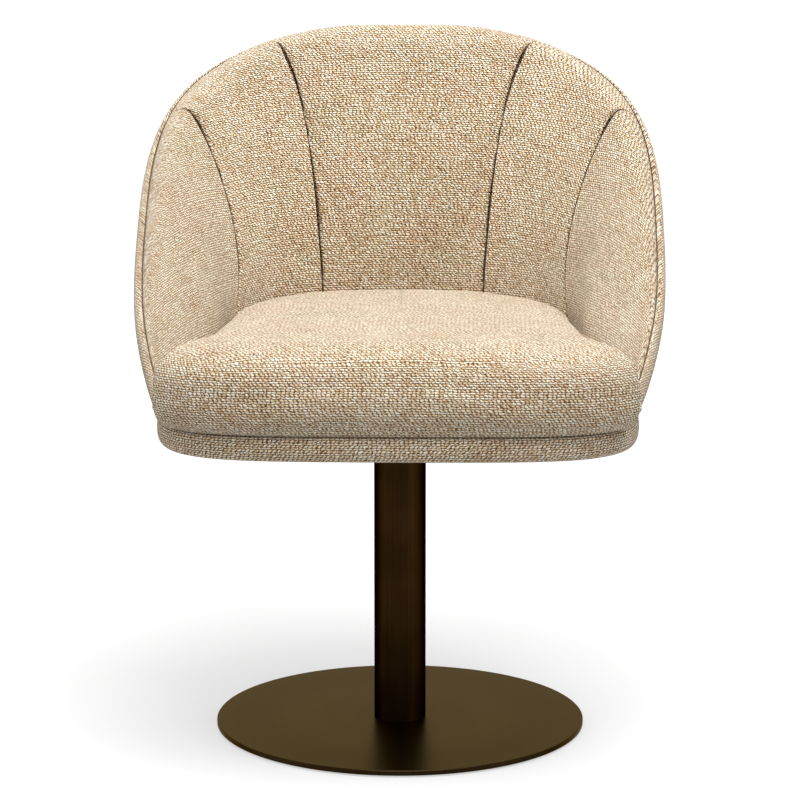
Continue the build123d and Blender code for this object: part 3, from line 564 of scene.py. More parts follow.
def woven_fabric():
    """The cloth as a material, worked out in millimetres over its UVs."""
    material, shader, node = new_material(
        "woven_cream_and_taupe_cloth",
        Roughness=0.92, Specular_IOR_Level=0.12, Sheen_Weight=0.3, Sheen_Roughness=0.5,
    )
    metres = node("UVMap", uv_map="cloth")
    cloth = node("VectorMath", {0: metres, "Scale": 1 / MM}, operation="SCALE")
    wander = {"Vector": cloth, "Scale": 1 / WANDER_SIZE, "Detail": 1.0}
    wander = node("TexNoise", wander, noise_dimensions="2D").outputs["Color"]
    reach = (2 * YARN_WANDER, YARN_WANDER, 0)
    yarn = node("VectorMath", (wander, reach, cloth), operation="MULTIPLY_ADD")
    along, up = node("SeparateXYZ", (yarn,)).outputs[:2]

    # Which row: each pair of rows has knots in its lower part and thin floats in its upper one.
    pair = node("Math", (up, PAIR_HEIGHT), operation="DIVIDE")
    pair_number = node("Math", (pair,), operation="FLOOR")
    in_pair = node("Math", (pair,), operation="FRACT")
    is_float = node("Math", (in_pair, KNOT_SHARE), operation="GREATER_THAN")
    row_number = node("Math", (pair_number, 2.0, is_float), operation="MULTIPLY_ADD")
    row_share = node("Math", (is_float, 1 - 2 * KNOT_SHARE, KNOT_SHARE), operation="MULTIPLY_ADD")
    from_row = node("Math", (is_float, -KNOT_SHARE, in_pair), operation="MULTIPLY_ADD")
    up_row = node("Math", (from_row, row_share), operation="DIVIDE")
    in_row = node("Math", (up_row, 0.5), operation="SUBTRACT")
    row_chance = node("TexWhiteNoise", {"W": row_number}, noise_dimensions="1D").outputs["Value"]

    # Which knot in the row: rows lie like bricks, each with a slip of its own, and knots slant.
    lean = node("Math", (is_float, -KNOT_SLANT, KNOT_SLANT), operation="MULTIPLY_ADD")
    slant = node("Math", (in_row, lean), operation="MULTIPLY")
    bricks = node("Math", (is_float, BRICK_SLIP, slant), operation="MULTIPLY_ADD")
    slip = node("Math", (row_chance, ROW_SLIP, bricks), operation="MULTIPLY_ADD")
    knot = node("Math", (along, 1 / KNOT_PITCH, slip), operation="MULTIPLY_ADD")
    knot_number = node("Math", (knot,), operation="FLOOR")
    along_knot = node("Math", (knot,), operation="FRACT")
    in_knot = node("Math", (along_knot, 0.5), operation="SUBTRACT")
    cell = node("CombineXYZ", (knot_number, row_number))
    chance = node("TexWhiteNoise", {"Vector": cell}, noise_dimensions="2D").outputs["Value"]

    # A rounded yarn in the cell: full in the middle, and sinking into a gap at its ends and sides.
    sharpness = node("Math", (is_float, FLOAT_SHARPER, KNOT_SHARPNESS), operation="MULTIPLY_ADD")
    to_end = node("Math", (in_knot, 2.0), operation="MULTIPLY")
    to_end = node("Math", (to_end,), operation="ABSOLUTE")
    end_fall = node("Math", (to_end, sharpness), operation="POWER")
    to_side = node("Math", (in_row, 2.0), operation="MULTIPLY")
    to_side = node("Math", (to_side,), operation="ABSOLUTE")
    side_fall = node("Math", (to_side, SIDE_SHARPNESS), operation="POWER")
    height = node("Math", (1.0, end_fall), operation="SUBTRACT")
    height = node("Math", (height, side_fall), operation="SUBTRACT")
    height = node("Math", (height, 0.0), operation="MAXIMUM")
    height = node("Math", (height, YARN_ROUNDNESS), operation="POWER")
    loft = node("Math", (is_float, -FLOAT_LOFT_LESS, KNOT_LOFT), operation="MULTIPLY_ADD")
    loft = node("Math", (chance, LOFT_CHANCE, loft), operation="MULTIPLY_ADD")
    lofted = node("Math", (height, loft), operation="MULTIPLY")

    # Thick and thin places, single fibres, and slow clouds over a hand's breadth.
    fibre = {"Vector": yarn, "Scale": 1 / FIBRE_SIZE, "Detail": 1.0}
    fibre = node("TexNoise", fibre, noise_dimensions="2D").outputs["Fac"]
    slub = {"Vector": cloth, "Scale": 1 / SLUB_SIZE, "Detail": 1.0}
    slub = node("TexNoise", slub, noise_dimensions="2D").outputs["Fac"]
    cloud = {"Vector": cloth, "Scale": 1 / CLOUD_SIZE, "Detail": 2.0}
    cloud = node("TexNoise", cloud, noise_dimensions="2D").outputs["Color"]
    cloud = node("SeparateColor", (cloud,)).outputs
    tone = lofted
    for change, weight in ((slub, SLUB_TONE), (fibre, FIBRE_TONE), (cloud[0], CLOUD_TONE)):
        change = node("Math", (change, 0.5), operation="SUBTRACT")
        tone = node("Math", (change, weight, tone), operation="MULTIPLY_ADD")

    # Colour by yarn height: the low gaps are darkened partly as painted shade and partly for the taupe yarns.
    ramp = node("ValToRGB", (tone,))
    stops = ramp.color_ramp.elements
    while len(stops) < len(YARN_COLOURS_AND_GAP_SHADE):
        stops.new(0.5)
    for stop, (position, colour) in zip(stops, YARN_COLOURS_AND_GAP_SHADE):
        stop.position = position
        stop.color = linear(colour)
    tints = {MIX_SHARE: cloud[1], MIX_FROM: linear(CLOUD_TINTS[0]), MIX_TO: linear(CLOUD_TINTS[1])}
    tint = node("Mix", tints, data_type="RGBA").outputs[MIX_RESULT]
    tinted = {MIX_SHARE: 1.0, MIX_FROM: ramp, MIX_TO: tint}
    colour = node("Mix", tinted, data_type="RGBA", blend_type="MULTIPLY").outputs[MIX_RESULT]
    relief = node("Math", (fibre, FIBRE_RELIEF, lofted), operation="MULTIPLY_ADD")
    bump = {"Height": relief, "Strength": RELIEF_STRENGTH, "Distance": YARN_RELIEF * MM}
    feed(shader, {"Base Color": colour, "Normal": node("Bump", bump)})
    return material


FABRIC = woven_fabric()
print(FABRIC.name, "with", len(FABRIC.node_tree.nodes), "nodes")

# %% [markdown]
# ## Inside panels
# Five panels line the tub. The two seams on each side start close together at the rim and
# run down and apart as the upholsterer cut them, so each is a curve of its own over the
# tub's inside. A panel's points crowd together near its seams, where the padded edge turns
# down into the channel, and the channels fade out before they reach the rim.

# %% Seam curves
# A seam's angle, and how far it turns from there towards the rim, over how many mm.
NEAR_SEAM, NEAR_TURN, NEAR_TURN_LENGTH, NEAR_MEASURED_AT = 27, 7, 70, 28
FAR_SEAM, FAR_TURN, FAR_TURN_LENGTH, FAR_MEASURED_AT = 56, 7, 38, 58
FOOT_TURN, FOOT_TURN_LENGTH, FOOT_TURN_HEIGHT, FOOT_TURN_FLOOR = 8.6, 45, 481, 475
SEAM_GAP_ANGLE, GAP_CLOSES, CHANNEL_FADE = 0.12, 0.12, 60


def near_seam(share):
    """Angle of the seam beside the centre panel, by the share of the way down from the rim."""
    down = share * INSIDE.lengths[NEAR_MEASURED_AT]
    return NEAR_SEAM + NEAR_TURN * exp(-down / NEAR_TURN_LENGTH)


def far_seam(share):
    """Angle of the seam between a side panel and its arm panel, which turns again at its foot."""
    down = share * INSIDE.lengths[FAR_MEASURED_AT]
    _, height = INSIDE.spot(FAR_MEASURED_AT, share)
    above_foot = max(height, FOOT_TURN_FLOOR) - FOOT_TURN_HEIGHT
    foot_turn = FOOT_TURN * exp(-above_foot / FOOT_TURN_LENGTH)
    return FAR_SEAM + FAR_TURN * exp(-down / FAR_TURN_LENGTH) + foot_turn


def arm_end(share):
    """The front end of an arm, which is upright."""
    return TUB_END


def mirrored(curve):
    """The same seam curve on the sitter's right, which is the picture's left."""
    return lambda share: -curve(share)


print("seams at the rim, degrees from the middle", round(near_seam(0)), round(far_seam(0)))

# %% Inside panels
CHANNEL_DEPTH, SLOPED_EDGE, ROLLED_EDGE, FAR_EDGE = 6.5, 12.0, 6.0, 7.5
RIM_SEAM_DEPTH, RIM_SEAM_WIDTH, CROWDING = 2.0, 3.5, 0.75
PANEL_ROWS, PANEL_COLUMN, PANEL_WADDING, PANEL_PRESSURE, PANEL_SWELL = 104, 3.4, 6, 6.0, 3.5
HELD_BELOW, MEAN_RADIUS, WIDEST_SHARE = 500, 270, 0.4
TUB_MIDDLE = Vector((0, 0, 0.62))


def crowded(a):
    """The same share across, with points closer together towards both edges."""
    return a - CROWDING * sin(2 * pi * a) / (2 * pi)


def inner_panel(name, left, right, edges, replaced):
    """A padded panel between two seam curves. `edges` are the widths of its padded edges."""
    width = radians(abs(right(WIDEST_SHARE) - left(WIDEST_SHARE))) * MEAN_RADIUS
    columns = ceil(width / PANEL_COLUMN)
    gaps = [SEAM_GAP_ANGLE if edge else 0 for edge in edges]

    def lay(a, b):
        opened = min((1 - b) / GAP_CLOSES, 1)
        start, end = left(1 - b) + gaps[0] * opened, right(1 - b) - gaps[1] * opened
        return INSIDE.place(start + (end - start) * crowded(a), 1 - b)

    bm, grid = laid_cloth(columns, PANEL_ROWS, lay)
    start = 0.5 if all(edges) else (0.0 if edges[0] else 1.0)
    across, up = measured(grid, start)
    set_cloth(bm, grid, lambda i, j: (across[i, j], up[i, j]))
    faced(bm, TUB_MIDDLE)
    bm.verts.index_update()
    number = {v.index: spot for spot, v in grid.items()}
    held = [v.index for v in bm.verts if v.is_boundary or v.co.z < HELD_BELOW * MM]
    piece = finished(bm, name, FABRIC, replaced=replaced)
    filled(piece, held, PANEL_PRESSURE, PANEL_SWELL)

    def depth(index):
        i, j = number[index]
        from_rim = (up[i, PANEL_ROWS] - up[i, j]) / MM
        fade = 1 - 2 ** (-from_rim / CHANNEL_FADE)
        sides = (across[i, j] - across[0, j], across[columns, j] - across[i, j])
        sunk = sum(
            pillow_edge(side / MM, CHANNEL_DEPTH, edge) * fade for side, edge in zip(sides, edges) if edge
        )
        return max(sunk, pillow_edge(from_rim, RIM_SEAM_DEPTH, RIM_SEAM_WIDTH))

    drawn_in(piece, depth)
    padded_behind(piece, PANEL_WADDING, levels=1)
    return piece


panels = [
    inner_panel(
        "centre_panel", mirrored(near_seam), near_seam, (SLOPED_EDGE, SLOPED_EDGE),
        ("back_panel_centre", "tub_foam"),
    ),
    inner_panel(
        "left_panel", mirrored(far_seam), mirrored(near_seam), (FAR_EDGE, ROLLED_EDGE), ("back_panel_left",)
    ),
    inner_panel("right_panel", near_seam, far_seam, (ROLLED_EDGE, FAR_EDGE), ("back_panel_right",)),
    inner_panel(
        "left_arm_panel", mirrored(arm_end), mirrored(far_seam), (0, ROLLED_EDGE), ("arm_panel_left",)
    ),
    inner_panel("right_arm_panel", far_seam, arm_end, (ROLLED_EDGE, 0), ("arm_panel_right", "arm_tip_foams")),
]
print("inside panels", [len(panel.data.polygons) for panel in panels])

# %% [markdown]
# ## Outside cover
# One piece of cloth runs round the outside from arm end to arm end over thin wadding, and
# a small capping closes each arm's front.

# %% Outside cover
COVER_COLUMNS, COVER_ROWS, COVER_WADDING, COVER_CROWDING = 270, 80, 3.5, 1.5


def outside_cover():
    """The outside cloth, with its rows closer together towards the rim, where it turns in."""

    def lay(a, b):
        return OUTSIDE.place(-TUB_END + 2 * TUB_END * a, 1 - (1 - b) ** COVER_CROWDING)

    bm, grid = laid_cloth(COVER_COLUMNS, COVER_ROWS, lay)
    across, up = measured(grid)
    set_cloth(bm, grid, lambda i, j: (across[i, j], up[i, j]))
    faced(bm, TUB_MIDDLE, towards=False)
    bm.verts.index_update()
    number = {v.index: spot for spot, v in grid.items()}
    piece = finished(bm, "outer_fabric", FABRIC, replaced=("outer_cover",))

    def depth(index):
        i, j = number[index]
        return pillow_edge((up[i, COVER_ROWS] - up[i, j]) / MM, RIM_SEAM_DEPTH, RIM_SEAM_WIDTH)

    drawn_in(piece, depth)
    padded_behind(piece, COVER_WADDING)
    return piece


cover = outside_cover()
print("outer cover faces", len(cover.data.polygons))

# %% Arm cappings
CAP_POINTS, CAP_BACK, CAP_TIP = 40, -3.5, 2.8
CAP_PROFILE = ((0, CAP_BACK), (0, 0), (0.6, 1.0), (1.8, 1.8), (4.5, 2.5))  # inset, and how far in front


def arm_capping(name, side):
    """The front end of an arm: its outline, rounded over towards the front, and closed."""
    angle = side * TUB_END
    steps = [k / CAP_POINTS for k in range(CAP_POINTS)]
    outline = [OUTSIDE.place(angle, s) for s in steps] + [INSIDE.place(angle, s) for s in steps]
    outline += [INSIDE.place(angle, 1.0), outline[0]]
    centre = sum(outline, Vector()) / len(outline)
    forwards = Vector((side * cos(radians(TUB_END)), -sin(radians(TUB_END)), 0)) * MM
    columns, rows = len(outline) - 1, len(CAP_PROFILE) + 1

    def lay(a, b):
        i, j = round(a * columns), round(b * rows)
        if j in (0, rows):
            return centre + forwards * (CAP_TIP if j else CAP_BACK)
        inset, ahead = CAP_PROFILE[j - 1]
        return outline[i] + (centre - outline[i]).normalized() * inset * MM + forwards * ahead

    bm, grid = laid_cloth(columns, rows, lay)
    set_cloth(bm, grid, lambda i, j: (grid[i, j].co.to_2d().length, grid[i, j].co.z))
    closed_up(bm)
    piece = finished(bm, name, FABRIC)
    return piece


cappings = [arm_capping("arm_capping_left", -1), arm_capping("arm_capping_right", 1)]
print("capping faces", [len(capping.data.polygons) for capping in cappings])

# %% [markdown]
# ## Band
# The board's edge is wrapped in the same cloth over thin wadding, rolled under and tacked
# to the board. It makes the soft roll below the cushion.

# %% Band
BAND_WALL, BAND_LIP, BAND_COLUMNS, BAND_ROWS, BAND_SKIN = 7, 30, 330, 34, 2.5
LIP_RISE, EDGE_TURN, LOW_TUCK, LOW_FULLNESS = 2, 3, 1, 0.4
TACK_DROP, TACK_TURN, HIGH_TUCK, HIGH_FULLNESS = 2, 0.8, 0.5, 0.45
BAND_MIDDLE = Vector((0, 0, 0.38))


def band_line(angle):
    """Section of the band, from its lip under the seat round to the top of the board."""
    outer, middle = base_radius(angle), (BAND_BOTTOM + BOARD_TOP) / 2
    board, half = outer - BAND_WALL, (BOARD_TOP - BAND_BOTTOM) / 2
    below = (board - EDGE_TURN, BAND_BOTTOM)
    runs = [
        [(outer - BAND_LIP, BAND_BOTTOM + LIP_RISE), below],
        [below, (outer - LOW_TUCK, BAND_BOTTOM), (outer, middle - LOW_FULLNESS * half), (outer, middle)],
        [
            (outer, middle), (outer, middle + HIGH_FULLNESS * half),
            (outer - HIGH_TUCK, BOARD_TOP + TACK_TURN), (board, BOARD_TOP - TACK_DROP),
        ],
    ]
    return evenly([bezier(run, t) for run in runs for t in ALONG_CURVE], BAND_ROWS)[1]


def band():
    """The wrapped edge, all the way round."""
    lines = [band_line(360 * i / BAND_COLUMNS - 180) for i in range(BAND_COLUMNS + 1)]

    def lay(a, b):
        return point(360 * a - 180, *lines[round(a * BAND_COLUMNS)][round(b * BAND_ROWS)])

    bm, grid = laid_cloth(BAND_COLUMNS, BAND_ROWS, lay)
    across, up = measured(grid)
    set_cloth(bm, grid, lambda i, j: (across[i, BAND_ROWS // 2], up[i, j]))
    closed_up(bm)
    faced(bm, BAND_MIDDLE, towards=False)
    piece = finished(bm, "band_fabric", FABRIC, replaced=("edge_wrap",))
    padded_behind(piece, BAND_SKIN)
    return piece


band_piece = band()
print("band faces", len(band_piece.data.polygons))

# %% [markdown]
# ## Seat cushion
# A thick pad that fills the tub and steps out in front of the arms. One cloth covers it:
# it comes up the front, over the rounded edge and on across the crowned top. The grid runs
# round the cushion and up its side to the middle of the top. Where it is free in front its
# edge rolls over, and where the tub squeezes it, it stays full to the top.

# %% Seat cushion shape
# Height, and the shares of the way in to the core where the cushion is free and where it is squeezed.
CUSHION_LEVELS = (
    (392, 0.08, 0.08), (402, 0.025, 0.025), (415, 0.0, 0.0), (430, 0.0, 0.0), (445, 0.005, 0.0),
    (459, 0.03, 0.015), (470, 0.09, 0.045), (478, 0.18, 0.11), (483, 0.34, 0.25), (486, 0.62, 0.52),
    (487, 0.95, 0.9),
)
CORE_HALF_WIDTH, CORE_REAR, CORE_FRONT, CROWN = 140, 140, 170, 0.6
OVERHANG, WING, WING_END, CLEARANCE = 8, 14, 165, 3
STEP_START, STEP_END, FREE_ANGLE = 128.1, 130.6, 100
CUSHION_COLUMNS, CUSHION_ROWS, CUSHION_START_INSET = 320, 84, 1.5
CUSHION_LINE_STEPS, PLAN_STEPS_PER_DEGREE = 160, 8


def core_radius(angle):
    """Small rounded plan towards which the cushion's crown shrinks."""
    return oval(angle, CORE_HALF_WIDTH, CORE_REAR if cos(radians(angle)) > 0 else CORE_FRONT, 2)


def cushion_radius(angle):
    """Plan of the cushion: inside the tub, then stepping out in front of the arms."""
    angle = min(angle, 360 - angle)
    share = smooth_step(angle, STEP_START, STEP_END)
    inside_tub = well_radius(min(angle, STEP_END)) - CLEARANCE
    wing = WING * max(0, (WING_END - angle) / (WING_END - STEP_END))
    return inside_tub + share * (base_radius(angle) + OVERHANG + wing - inside_tub)


def through(values, t):
    """A smooth value at t of the way along a list, by Catmull and Rom's spline."""
    spans = len(values) - 1
    i = min(int(t * spans), spans - 1)
    u = t * spans - i
    p = [values[min(max(i + k, 0), spans)] for k in (-1, 0, 1, 2)]
    rise = (p[2] - p[0]) * u + (2 * p[0] - 5 * p[1] + 4 * p[2] - p[3]) * u**2
    return p[1] + 0.5 * (rise + (3 * p[1] - p[0] - 3 * p[2] + p[3]) * u**3)


def cushion_line(angle):
    """From the cushion's foot up its side and in to the middle of its top."""
    free = smooth_step(min(angle, 360 - angle), FREE_ANGLE, STEP_START)
    radius, core = cushion_radius(angle), core_radius(angle)
    radii, heights = [], []
    for height, free_share, squeezed_share in CUSHION_LEVELS:
        share = squeezed_share + free * (free_share - squeezed_share)
        radii.append(radius + share * (core - radius) - CUSHION_START_INSET)
        heights.append(height)
    steps = [i / CUSHION_LINE_STEPS for i in range(CUSHION_LINE_STEPS + 1)]
    line = [(through(radii, t), through(heights, t)) for t in steps] + [(0, heights[-1] + CROWN)]
    return evenly(line, CUSHION_ROWS)


def evenly_round(radius_at, count):
    """Angles from 0 to 360 that space points evenly along a plan, and its length in metres."""
    fine = [i / PLAN_STEPS_PER_DEGREE for i in range(PLAN_STEPS_PER_DEGREE * 360 + 1)]
    spots = [point(angle, radius_at(angle), 0) for angle in fine]
    lengths = [0.0]
    for before, after in zip(spots, spots[1:]):
        lengths.append(lengths[-1] + (after - before).length)
    angles, i = [], 0
    for k in range(count + 1):
        while i < len(fine) - 2 and lengths[i + 1] < lengths[-1] * k / count:
            i += 1
        angles.append(fine[i])
    return angles, lengths[-1]


# %% Seat cushion
CUSHION_PRESSURE, CUSHION_SWELL, SWELL_FROM, TOP_DROP, CUSHION_SKIN = 5.0, 3.0, 405, 17, 3


def seat_cushion():
    """The cushion's cloth. Its side is mapped along the plan, and its top straight from above."""
    angles, perimeter = evenly_round(cushion_radius, CUSHION_COLUMNS)
    lines = [cushion_line(angle) for angle in angles]
    front_length = lines[CUSHION_COLUMNS // 2][0] * MM

    def lay(a, b):
        i = round(a * CUSHION_COLUMNS)
        return point(angles[i], *lines[i][1][round(b * CUSHION_ROWS)])

    bm, grid = laid_cloth(CUSHION_COLUMNS, CUSHION_ROWS, lay)
    _, up = measured(grid)
    spots = {v: spot for spot, v in grid.items()}
    uv = bm.loops.layers.uv["cloth"]
    for face in bm.faces:
        on_top = face.calc_center_median().z > (SEAT_HEIGHT - TOP_DROP) * MM
        for corner in face.loops:
            i, j = spots[corner.vert]
            if on_top:
                corner[uv].uv = (corner.vert.co.x, front_length + corner.vert.co.y)
            else:
                corner[uv].uv = (perimeter * (0.5 - i / CUSHION_COLUMNS), up[i, j])
    closed_up(bm)
    bm.verts.index_update()
    held = [v.index for v in bm.verts if v.co.z < SWELL_FROM * MM]
    piece = finished(bm, "seat_cushion", FABRIC, replaced=("seat_cover", "seat_foam"))
    filled(piece, held, CUSHION_PRESSURE, CUSHION_SWELL)
    padded_behind(piece, CUSHION_SKIN)
    return piece


cushion = seat_cushion()
print("cushion faces", len(cushion.data.polygons))

# %% [markdown]
# ## Stitches
# Thick dark thread shows as dashes down in the channels and along the rim's seam. Each
# stitch is a stretched little ball, laid along the seam's own curve. They are repeated
# hundreds of times, so each has only a few dozen faces.

# %% Thread
# Waxed brown thread: matt, with paler strands twisted through it.
STRAND_SCALE = 900.0
thread_material, shader, node = new_material("waxed_brown_thread", Roughness=0.7, Specular_IOR_Level=0.2)
twist = node("TexCoord").outputs["Object"]
strands = node("TexNoise", {"Vector": twist, "Scale": STRAND_SCALE, "Detail": 1.0})
colour = two_tone(node, strands, low=0.3, high=0.7, dark="#4C3924", light="#7C6246")
feed(shader, {"Base Color": colour})
print(thread_material.name)

# %% Stitches
STITCH_LENGTH, STITCH_PITCH, THREAD = 5.4, 5.6, 1.2
CHANNEL_STEPS, CHANNEL_END, CHANNEL_LENGTH = 500, 470, 450
NEAR_CHANNEL, FAR_CHANNEL, RIM_STITCH_DEPTH = (20, 4.2), (35, 2.4), 1.4  # first step, and depth in mm
NORMAL_ANGLE, NORMAL_SHARE, INWARD_WEIGHT, RIM_STEPS_PER_DEGREE = 0.5, 0.01, 0.3, 10


def stitched(name, seams):
    """One piece with a stitch at every pitch along each seam, given as a line of points."""
    bm = bmesh.new()
    shape = Matrix.Diagonal((THREAD * MM, THREAD * MM, STITCH_LENGTH * MM, 1))
    for line in seams:
        travelled, due = 0.0, STITCH_PITCH * MM
        for before, after in zip(line, line[1:]):
            along = after - before
            travelled += along.length
            if travelled >= due:
                due += STITCH_PITCH * MM
                turn = along.to_track_quat("Z", "Y").to_matrix().to_4x4()
                bmesh.ops.create_icosphere(
                    bm, subdivisions=1, radius=0.5, matrix=Matrix.Translation(after) @ turn @ shape
                )
    print(name, "faces", len(bm.faces))
    finished(bm, name, thread_material)


def sunk(face, angle, share, depth):
    """A point of one face of the tub, moved inwards along its normal."""
    here = face.place(angle, share)
    round_it = face.place(angle + NORMAL_ANGLE, share) - face.place(angle - NORMAL_ANGLE, share)
    above, below = max(share - NORMAL_SHARE, 0), min(share + NORMAL_SHARE, 1)
    down_it = face.place(angle, below) - face.place(angle, above)
    normal = round_it.cross(down_it).normalized()
    outwards = normal if normal.z + INWARD_WEIGHT * normal.dot(-here) > 0 else -normal
    return here - outwards * depth * MM


def channel_line(curve, side):
    """The thread's line down a channel, on one side of the chair."""
    start, depth = NEAR_CHANNEL if curve is near_seam else FAR_CHANNEL
    shares = [k / CHANNEL_STEPS for k in range(start, CHANNEL_END)]
    return [
        sunk(INSIDE, side * curve(s), s, depth * (1 - 2 ** (-s * CHANNEL_LENGTH / CHANNEL_FADE)))
        for s in shares
    ]


def rim_line():
    """The thread's line along the rim's seam, from a degree inside one arm's end to the other's."""
    last = RIM_STEPS_PER_DEGREE * (TUB_END - 1)
    angles = [k / RIM_STEPS_PER_DEGREE for k in range(-last, last + 1)]
    return [sunk(INSIDE, angle, 0.0, RIM_STITCH_DEPTH) for angle in angles]


channels = [channel_line(curve, side) for curve in (near_seam, far_seam) for side in (-1, 1)]
stitched("channel_stitches", channels)
stitched("rim_stitches", [rim_line()])

# %% [markdown]
# ## Metal
# Disc and column are mild steel with a dark bronze lacquer over a fine brushing: in circles
# on the disc, and along the column. That gives a warm, nearly black metal with a soft, long
# highlight. The two parts get a shaded and a lit copy of the same lacquer. The column's edge
# tint is brown, so its edges stay dark at a low angle: painted shade. The disc's is pale,
# with slightly lighter tones, so it shines brighter: painted light.

# %% Bronze
BRUSH_PER_METRE, BRUSH_LENGTH, BLOTCH_SCALE = 1300, 5, 14.0
LINE_TONE, BLOTCH_TONE, SMOOTHEST, ROUGHEST = 0.6, 0.45, 0.28, 0.42
BRUSH_DEPTH, BRUSH_STRENGTH, CIRCLE_CHANGE = 0.1, 0.15, 0.002


def brushed_bronze(name, dark, light, edge, stretch, circles=False):
    """Lacquered steel, brushed in circles or as stretched. `edge` tints it at low angles."""
    material, shader, node = new_material(name, Metallic=1.0, Specular_Tint=linear(edge))
    spot = node("TexCoord").outputs["Object"]
    if circles:
        # The pattern follows the distance from the axis, and hardly changes round it.
        flat = node("VectorMath", (spot, (1, 1, 0)), operation="MULTIPLY")
        away = node("VectorMath", (flat,), operation="LENGTH").outputs["Value"]
        outwards = node("VectorMath", (flat,), operation="NORMALIZE")
        ring = node("CombineXYZ", (away,))
        change = (CIRCLE_CHANGE, CIRCLE_CHANGE, 0)
        spot = node("VectorMath", (outwards, change, ring), operation="MULTIPLY_ADD")
    scratches = node("Mapping", {"Vector": spot, "Scale": stretch})
    lines = node("TexNoise", {"Vector": scratches, "Scale": 1.0, "Detail": 5.0})
    blotches = node("TexNoise", {"Vector": spot, "Scale": BLOTCH_SCALE, "Detail": 2.0})
    tone = node("Math", (lines, LINE_TONE), operation="MULTIPLY")
    tone = node("Math", (blotches, BLOTCH_TONE, tone), operation="MULTIPLY_ADD")
    colour = two_tone(node, tone, low=0.35, high=0.75, dark=dark, light=light)
    rough = node("MapRange", {"Value": lines, "To Min": SMOOTHEST, "To Max": ROUGHEST})
    bump = {"Height": lines, "Strength": BRUSH_STRENGTH, "Distance": BRUSH_DEPTH * MM}
    feed(shader, {"Base Color": colour, "Roughness": rough, "Normal": node("Bump", bump)})
    return material


def dress(material, *names):
    """Puts a finish on solids of the frame."""
    for name in names:
        nodes[name].data.materials.clear()
        nodes[name].data.materials.append(material)
    print(material.name, "on", *names)


# Along the column the light gathers in one long soft line. On the disc it spreads in a bow tie.
# The column's copy: its brown edge tint keeps its edges dark at low angles, which is painted shade.
along = brushed_bronze(
    "bronze_lacquer_brushed_along", "#180E04", "#30200E", "#8A6E4A",
    (BRUSH_PER_METRE, BRUSH_PER_METRE, BRUSH_LENGTH),
)
# The disc's copy: its pale edge tint and lighter tones make it shine brighter, which is painted light.
in_circles = brushed_bronze(
    "bronze_lacquer_brushed_round", "#1C140A", "#352816", "#D8CCB8", (BRUSH_PER_METRE,) * 3, circles=True
)
dress(along, "column_tube")
dress(in_circles, "base_disc")

# %% [markdown]
# ## What holds it together
# The rest is seen only from below or when the chair is taken apart: zinc plated screws,
# bolts, washers and nuts, a powder coated plate, nylon bushes, plastic glides, birch
# plywood and the black cloth under the seat.

# %% Hardware finishes
GRAIN_STRENGTH = 0.5


def grained(name, dark, light, grain_mm, bump_mm, stretch=(1, 1, 1), **sockets):
    """A finish with a fine grain: two close colours and a small relief from one noise."""
    material, shader, node = new_material(name, **sockets)
    spot = node("TexCoord").outputs["Object"]
    spot = node("Mapping", {"Vector": spot, "Scale": stretch})
    grain = node("TexNoise", {"Vector": spot, "Scale": 1 / (grain_mm * MM), "Detail": 3.0})
    colour = two_tone(node, grain, low=0.35, high=0.65, dark=dark, light=light)
    bump = {"Height": grain, "Strength": GRAIN_STRENGTH, "Distance": bump_mm * MM}
    feed(shader, {"Base Color": colour, "Normal": node("Bump", bump)})
    return material


# Pale bluish plating, with the faint mottle of its bath.
zinc = grained("zinc_plating", "#9FA3A6", "#C3C6C8", 1.5, 0.01, Metallic=1.0, Roughness=0.32)
# Bare turned steel, a little darker, with fine rings from the lathe.
turned = grained(
    "turned_steel", "#85868A", "#A6A7AA", 1.0, 0.01, (0.05, 0.05, 1), Metallic=1.0, Roughness=0.35
)
# Black powder coat: dull, with a slight orange peel.
powder = grained("black_powder_coat", "#0E0E0F", "#1B1B1C", 0.8, 0.05, Roughness=0.55)
# Natural nylon: an even, waxy off-white.
nylon = grained("natural_nylon", "#E0DCCB", "#EDEADB", 3.0, 0.01, Roughness=0.45)
# Moulded polyethylene: black and slightly greasy.
glide = grained("black_polyethylene", "#101010", "#1C1C1C", 1.2, 0.02, Roughness=0.5)
# Birch: pale wood with its grain drawn out along the board.
birch = grained("birch_plywood", "#B58E5E", "#DDBE8E", 2.2, 0.05, (1, 0.06, 1), Roughness=0.6)
dress(zinc, "foot_screws", "plate_washers", "plate_bolts", "tee_nuts", "tub_screws")
dress(zinc, "snap_ring", "retaining_washer")
dress(turned, "column_foot", "bearing_hub", "spindle")
dress(powder, "swivel_plate")
dress(nylon, "lower_bush", "upper_bush", "thrust_washer")
dress(glide, "floor_glides")
dress(birch, "seat_board", "tub_frame")

# %% [markdown]
# The cloth under the seat is a thin black spun sheet, pulled flat and stapled along its
# edge, with an opening for the swivel plate. It dimples at each staple.

# %% Spun cloth
# Nearly black and quite dull, with the small dots of its heat bonding.
DOT_SCALE, DOT_SCATTER, DOT_STRENGTH, DOT_DEPTH = 450.0, 0.15, 0.4, 0.2
spun_cloth, shader, node = new_material("black_spun_cloth", Roughness=0.95, Specular_IOR_Level=0.1)
spot = node("UVMap", uv_map="cloth")
dots = {"Vector": spot, "Scale": DOT_SCALE, "Randomness": DOT_SCATTER}
dots = node("TexVoronoi", dots).outputs["Distance"]
colour = two_tone(node, dots, low=0.1, high=0.5, dark="#0B0B0B", light="#1E1E1F")
bump = {"Height": dots, "Strength": DOT_STRENGTH, "Distance": DOT_DEPTH * MM}
feed(shader, {"Base Color": colour, "Normal": node("Bump", bump)})
print(spun_cloth.name)

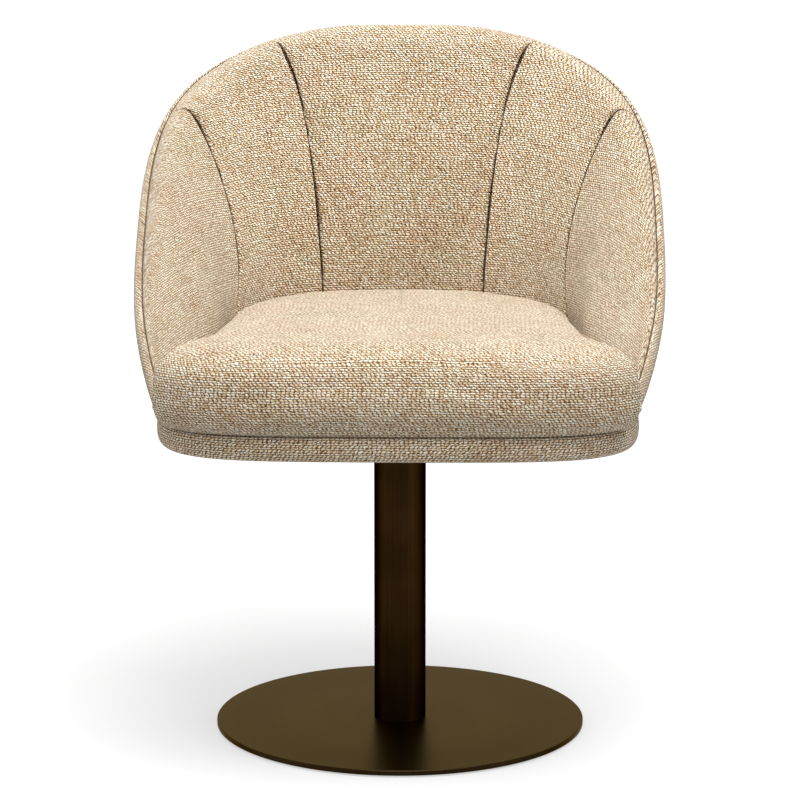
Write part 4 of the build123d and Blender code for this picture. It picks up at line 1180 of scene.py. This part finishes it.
# %% Dust cloth
CLOTH_GAP, WINDOW_HALF, WINDOW_SQUARENESS, DIMPLE = 31, 103, 24, 0.9
CLOTH_COLUMNS, CLOTH_ROWS, STAPLE_EVERY, CLOTH_DROP, CLOTH_THICKNESS = 288, 16, 8, 0.7, 0.3
BELOW_SEAT = Vector((0, 0, 0))


def dust_cloth():
    """The stretched sheet, from the plate's opening out to its stapled edge."""

    def lay(a, b):
        angle = 360 * a - 180
        inner = oval(angle, WINDOW_HALF, WINDOW_HALF, WINDOW_SQUARENESS)
        outer = base_radius(angle) - CLOTH_GAP
        pull = 0.5 - 0.5 * cos(2 * pi * a * CLOTH_COLUMNS / STAPLE_EVERY)
        return point(angle, inner + (outer - inner) * b, BOARD_BOTTOM - CLOTH_DROP - DIMPLE * pull * b**3)

    bm, grid = laid_cloth(CLOTH_COLUMNS, CLOTH_ROWS, lay)
    set_cloth(bm, grid, lambda i, j: grid[i, j].co.to_2d())
    bmesh.ops.remove_doubles(bm, verts=bm.verts, dist=JOIN_WITHIN)
    faced(bm, BELOW_SEAT)
    area = sum(face.calc_area() for face in bm.faces)
    piece = finished(bm, "dust_cloth", spun_cloth, ("dust_cover",))
    padded_behind(piece, CLOTH_THICKNESS)


dust_cloth()

# %% Staples
STAPLE_WIDTH, STAPLE_WIRE, STAPLE_INSET, STAPLE_DROP, WIRE_ROUNDING = 10, 1.0, 4, 1.3, 0.3


def staples():
    """Flat crowned staples, one at each dimple, bevelled like bent wire."""
    bm = bmesh.new()
    shape = Matrix.Diagonal((STAPLE_WIDTH * MM, STAPLE_WIRE * MM, STAPLE_WIRE * MM, 1))
    for k in range(CLOTH_COLUMNS // STAPLE_EVERY):
        angle = 360 * k * STAPLE_EVERY / CLOTH_COLUMNS - 180
        radius = base_radius(angle) - CLOTH_GAP - STAPLE_INSET
        place = Matrix.Translation(point(angle, radius, BOARD_BOTTOM - STAPLE_DROP))
        turn = Matrix.Rotation(radians(-angle), 4, "Z")
        bmesh.ops.create_cube(bm, size=1, matrix=place @ turn @ shape)
    bmesh.ops.bevel(
        bm, geom=bm.edges[:], affect="EDGES", offset=WIRE_ROUNDING * MM, segments=2, profile=0.5, material=-1
    )
    return finished(bm, "staples", zinc)


staple_piece = staples()
print("staple faces", len(staple_piece.data.polygons))
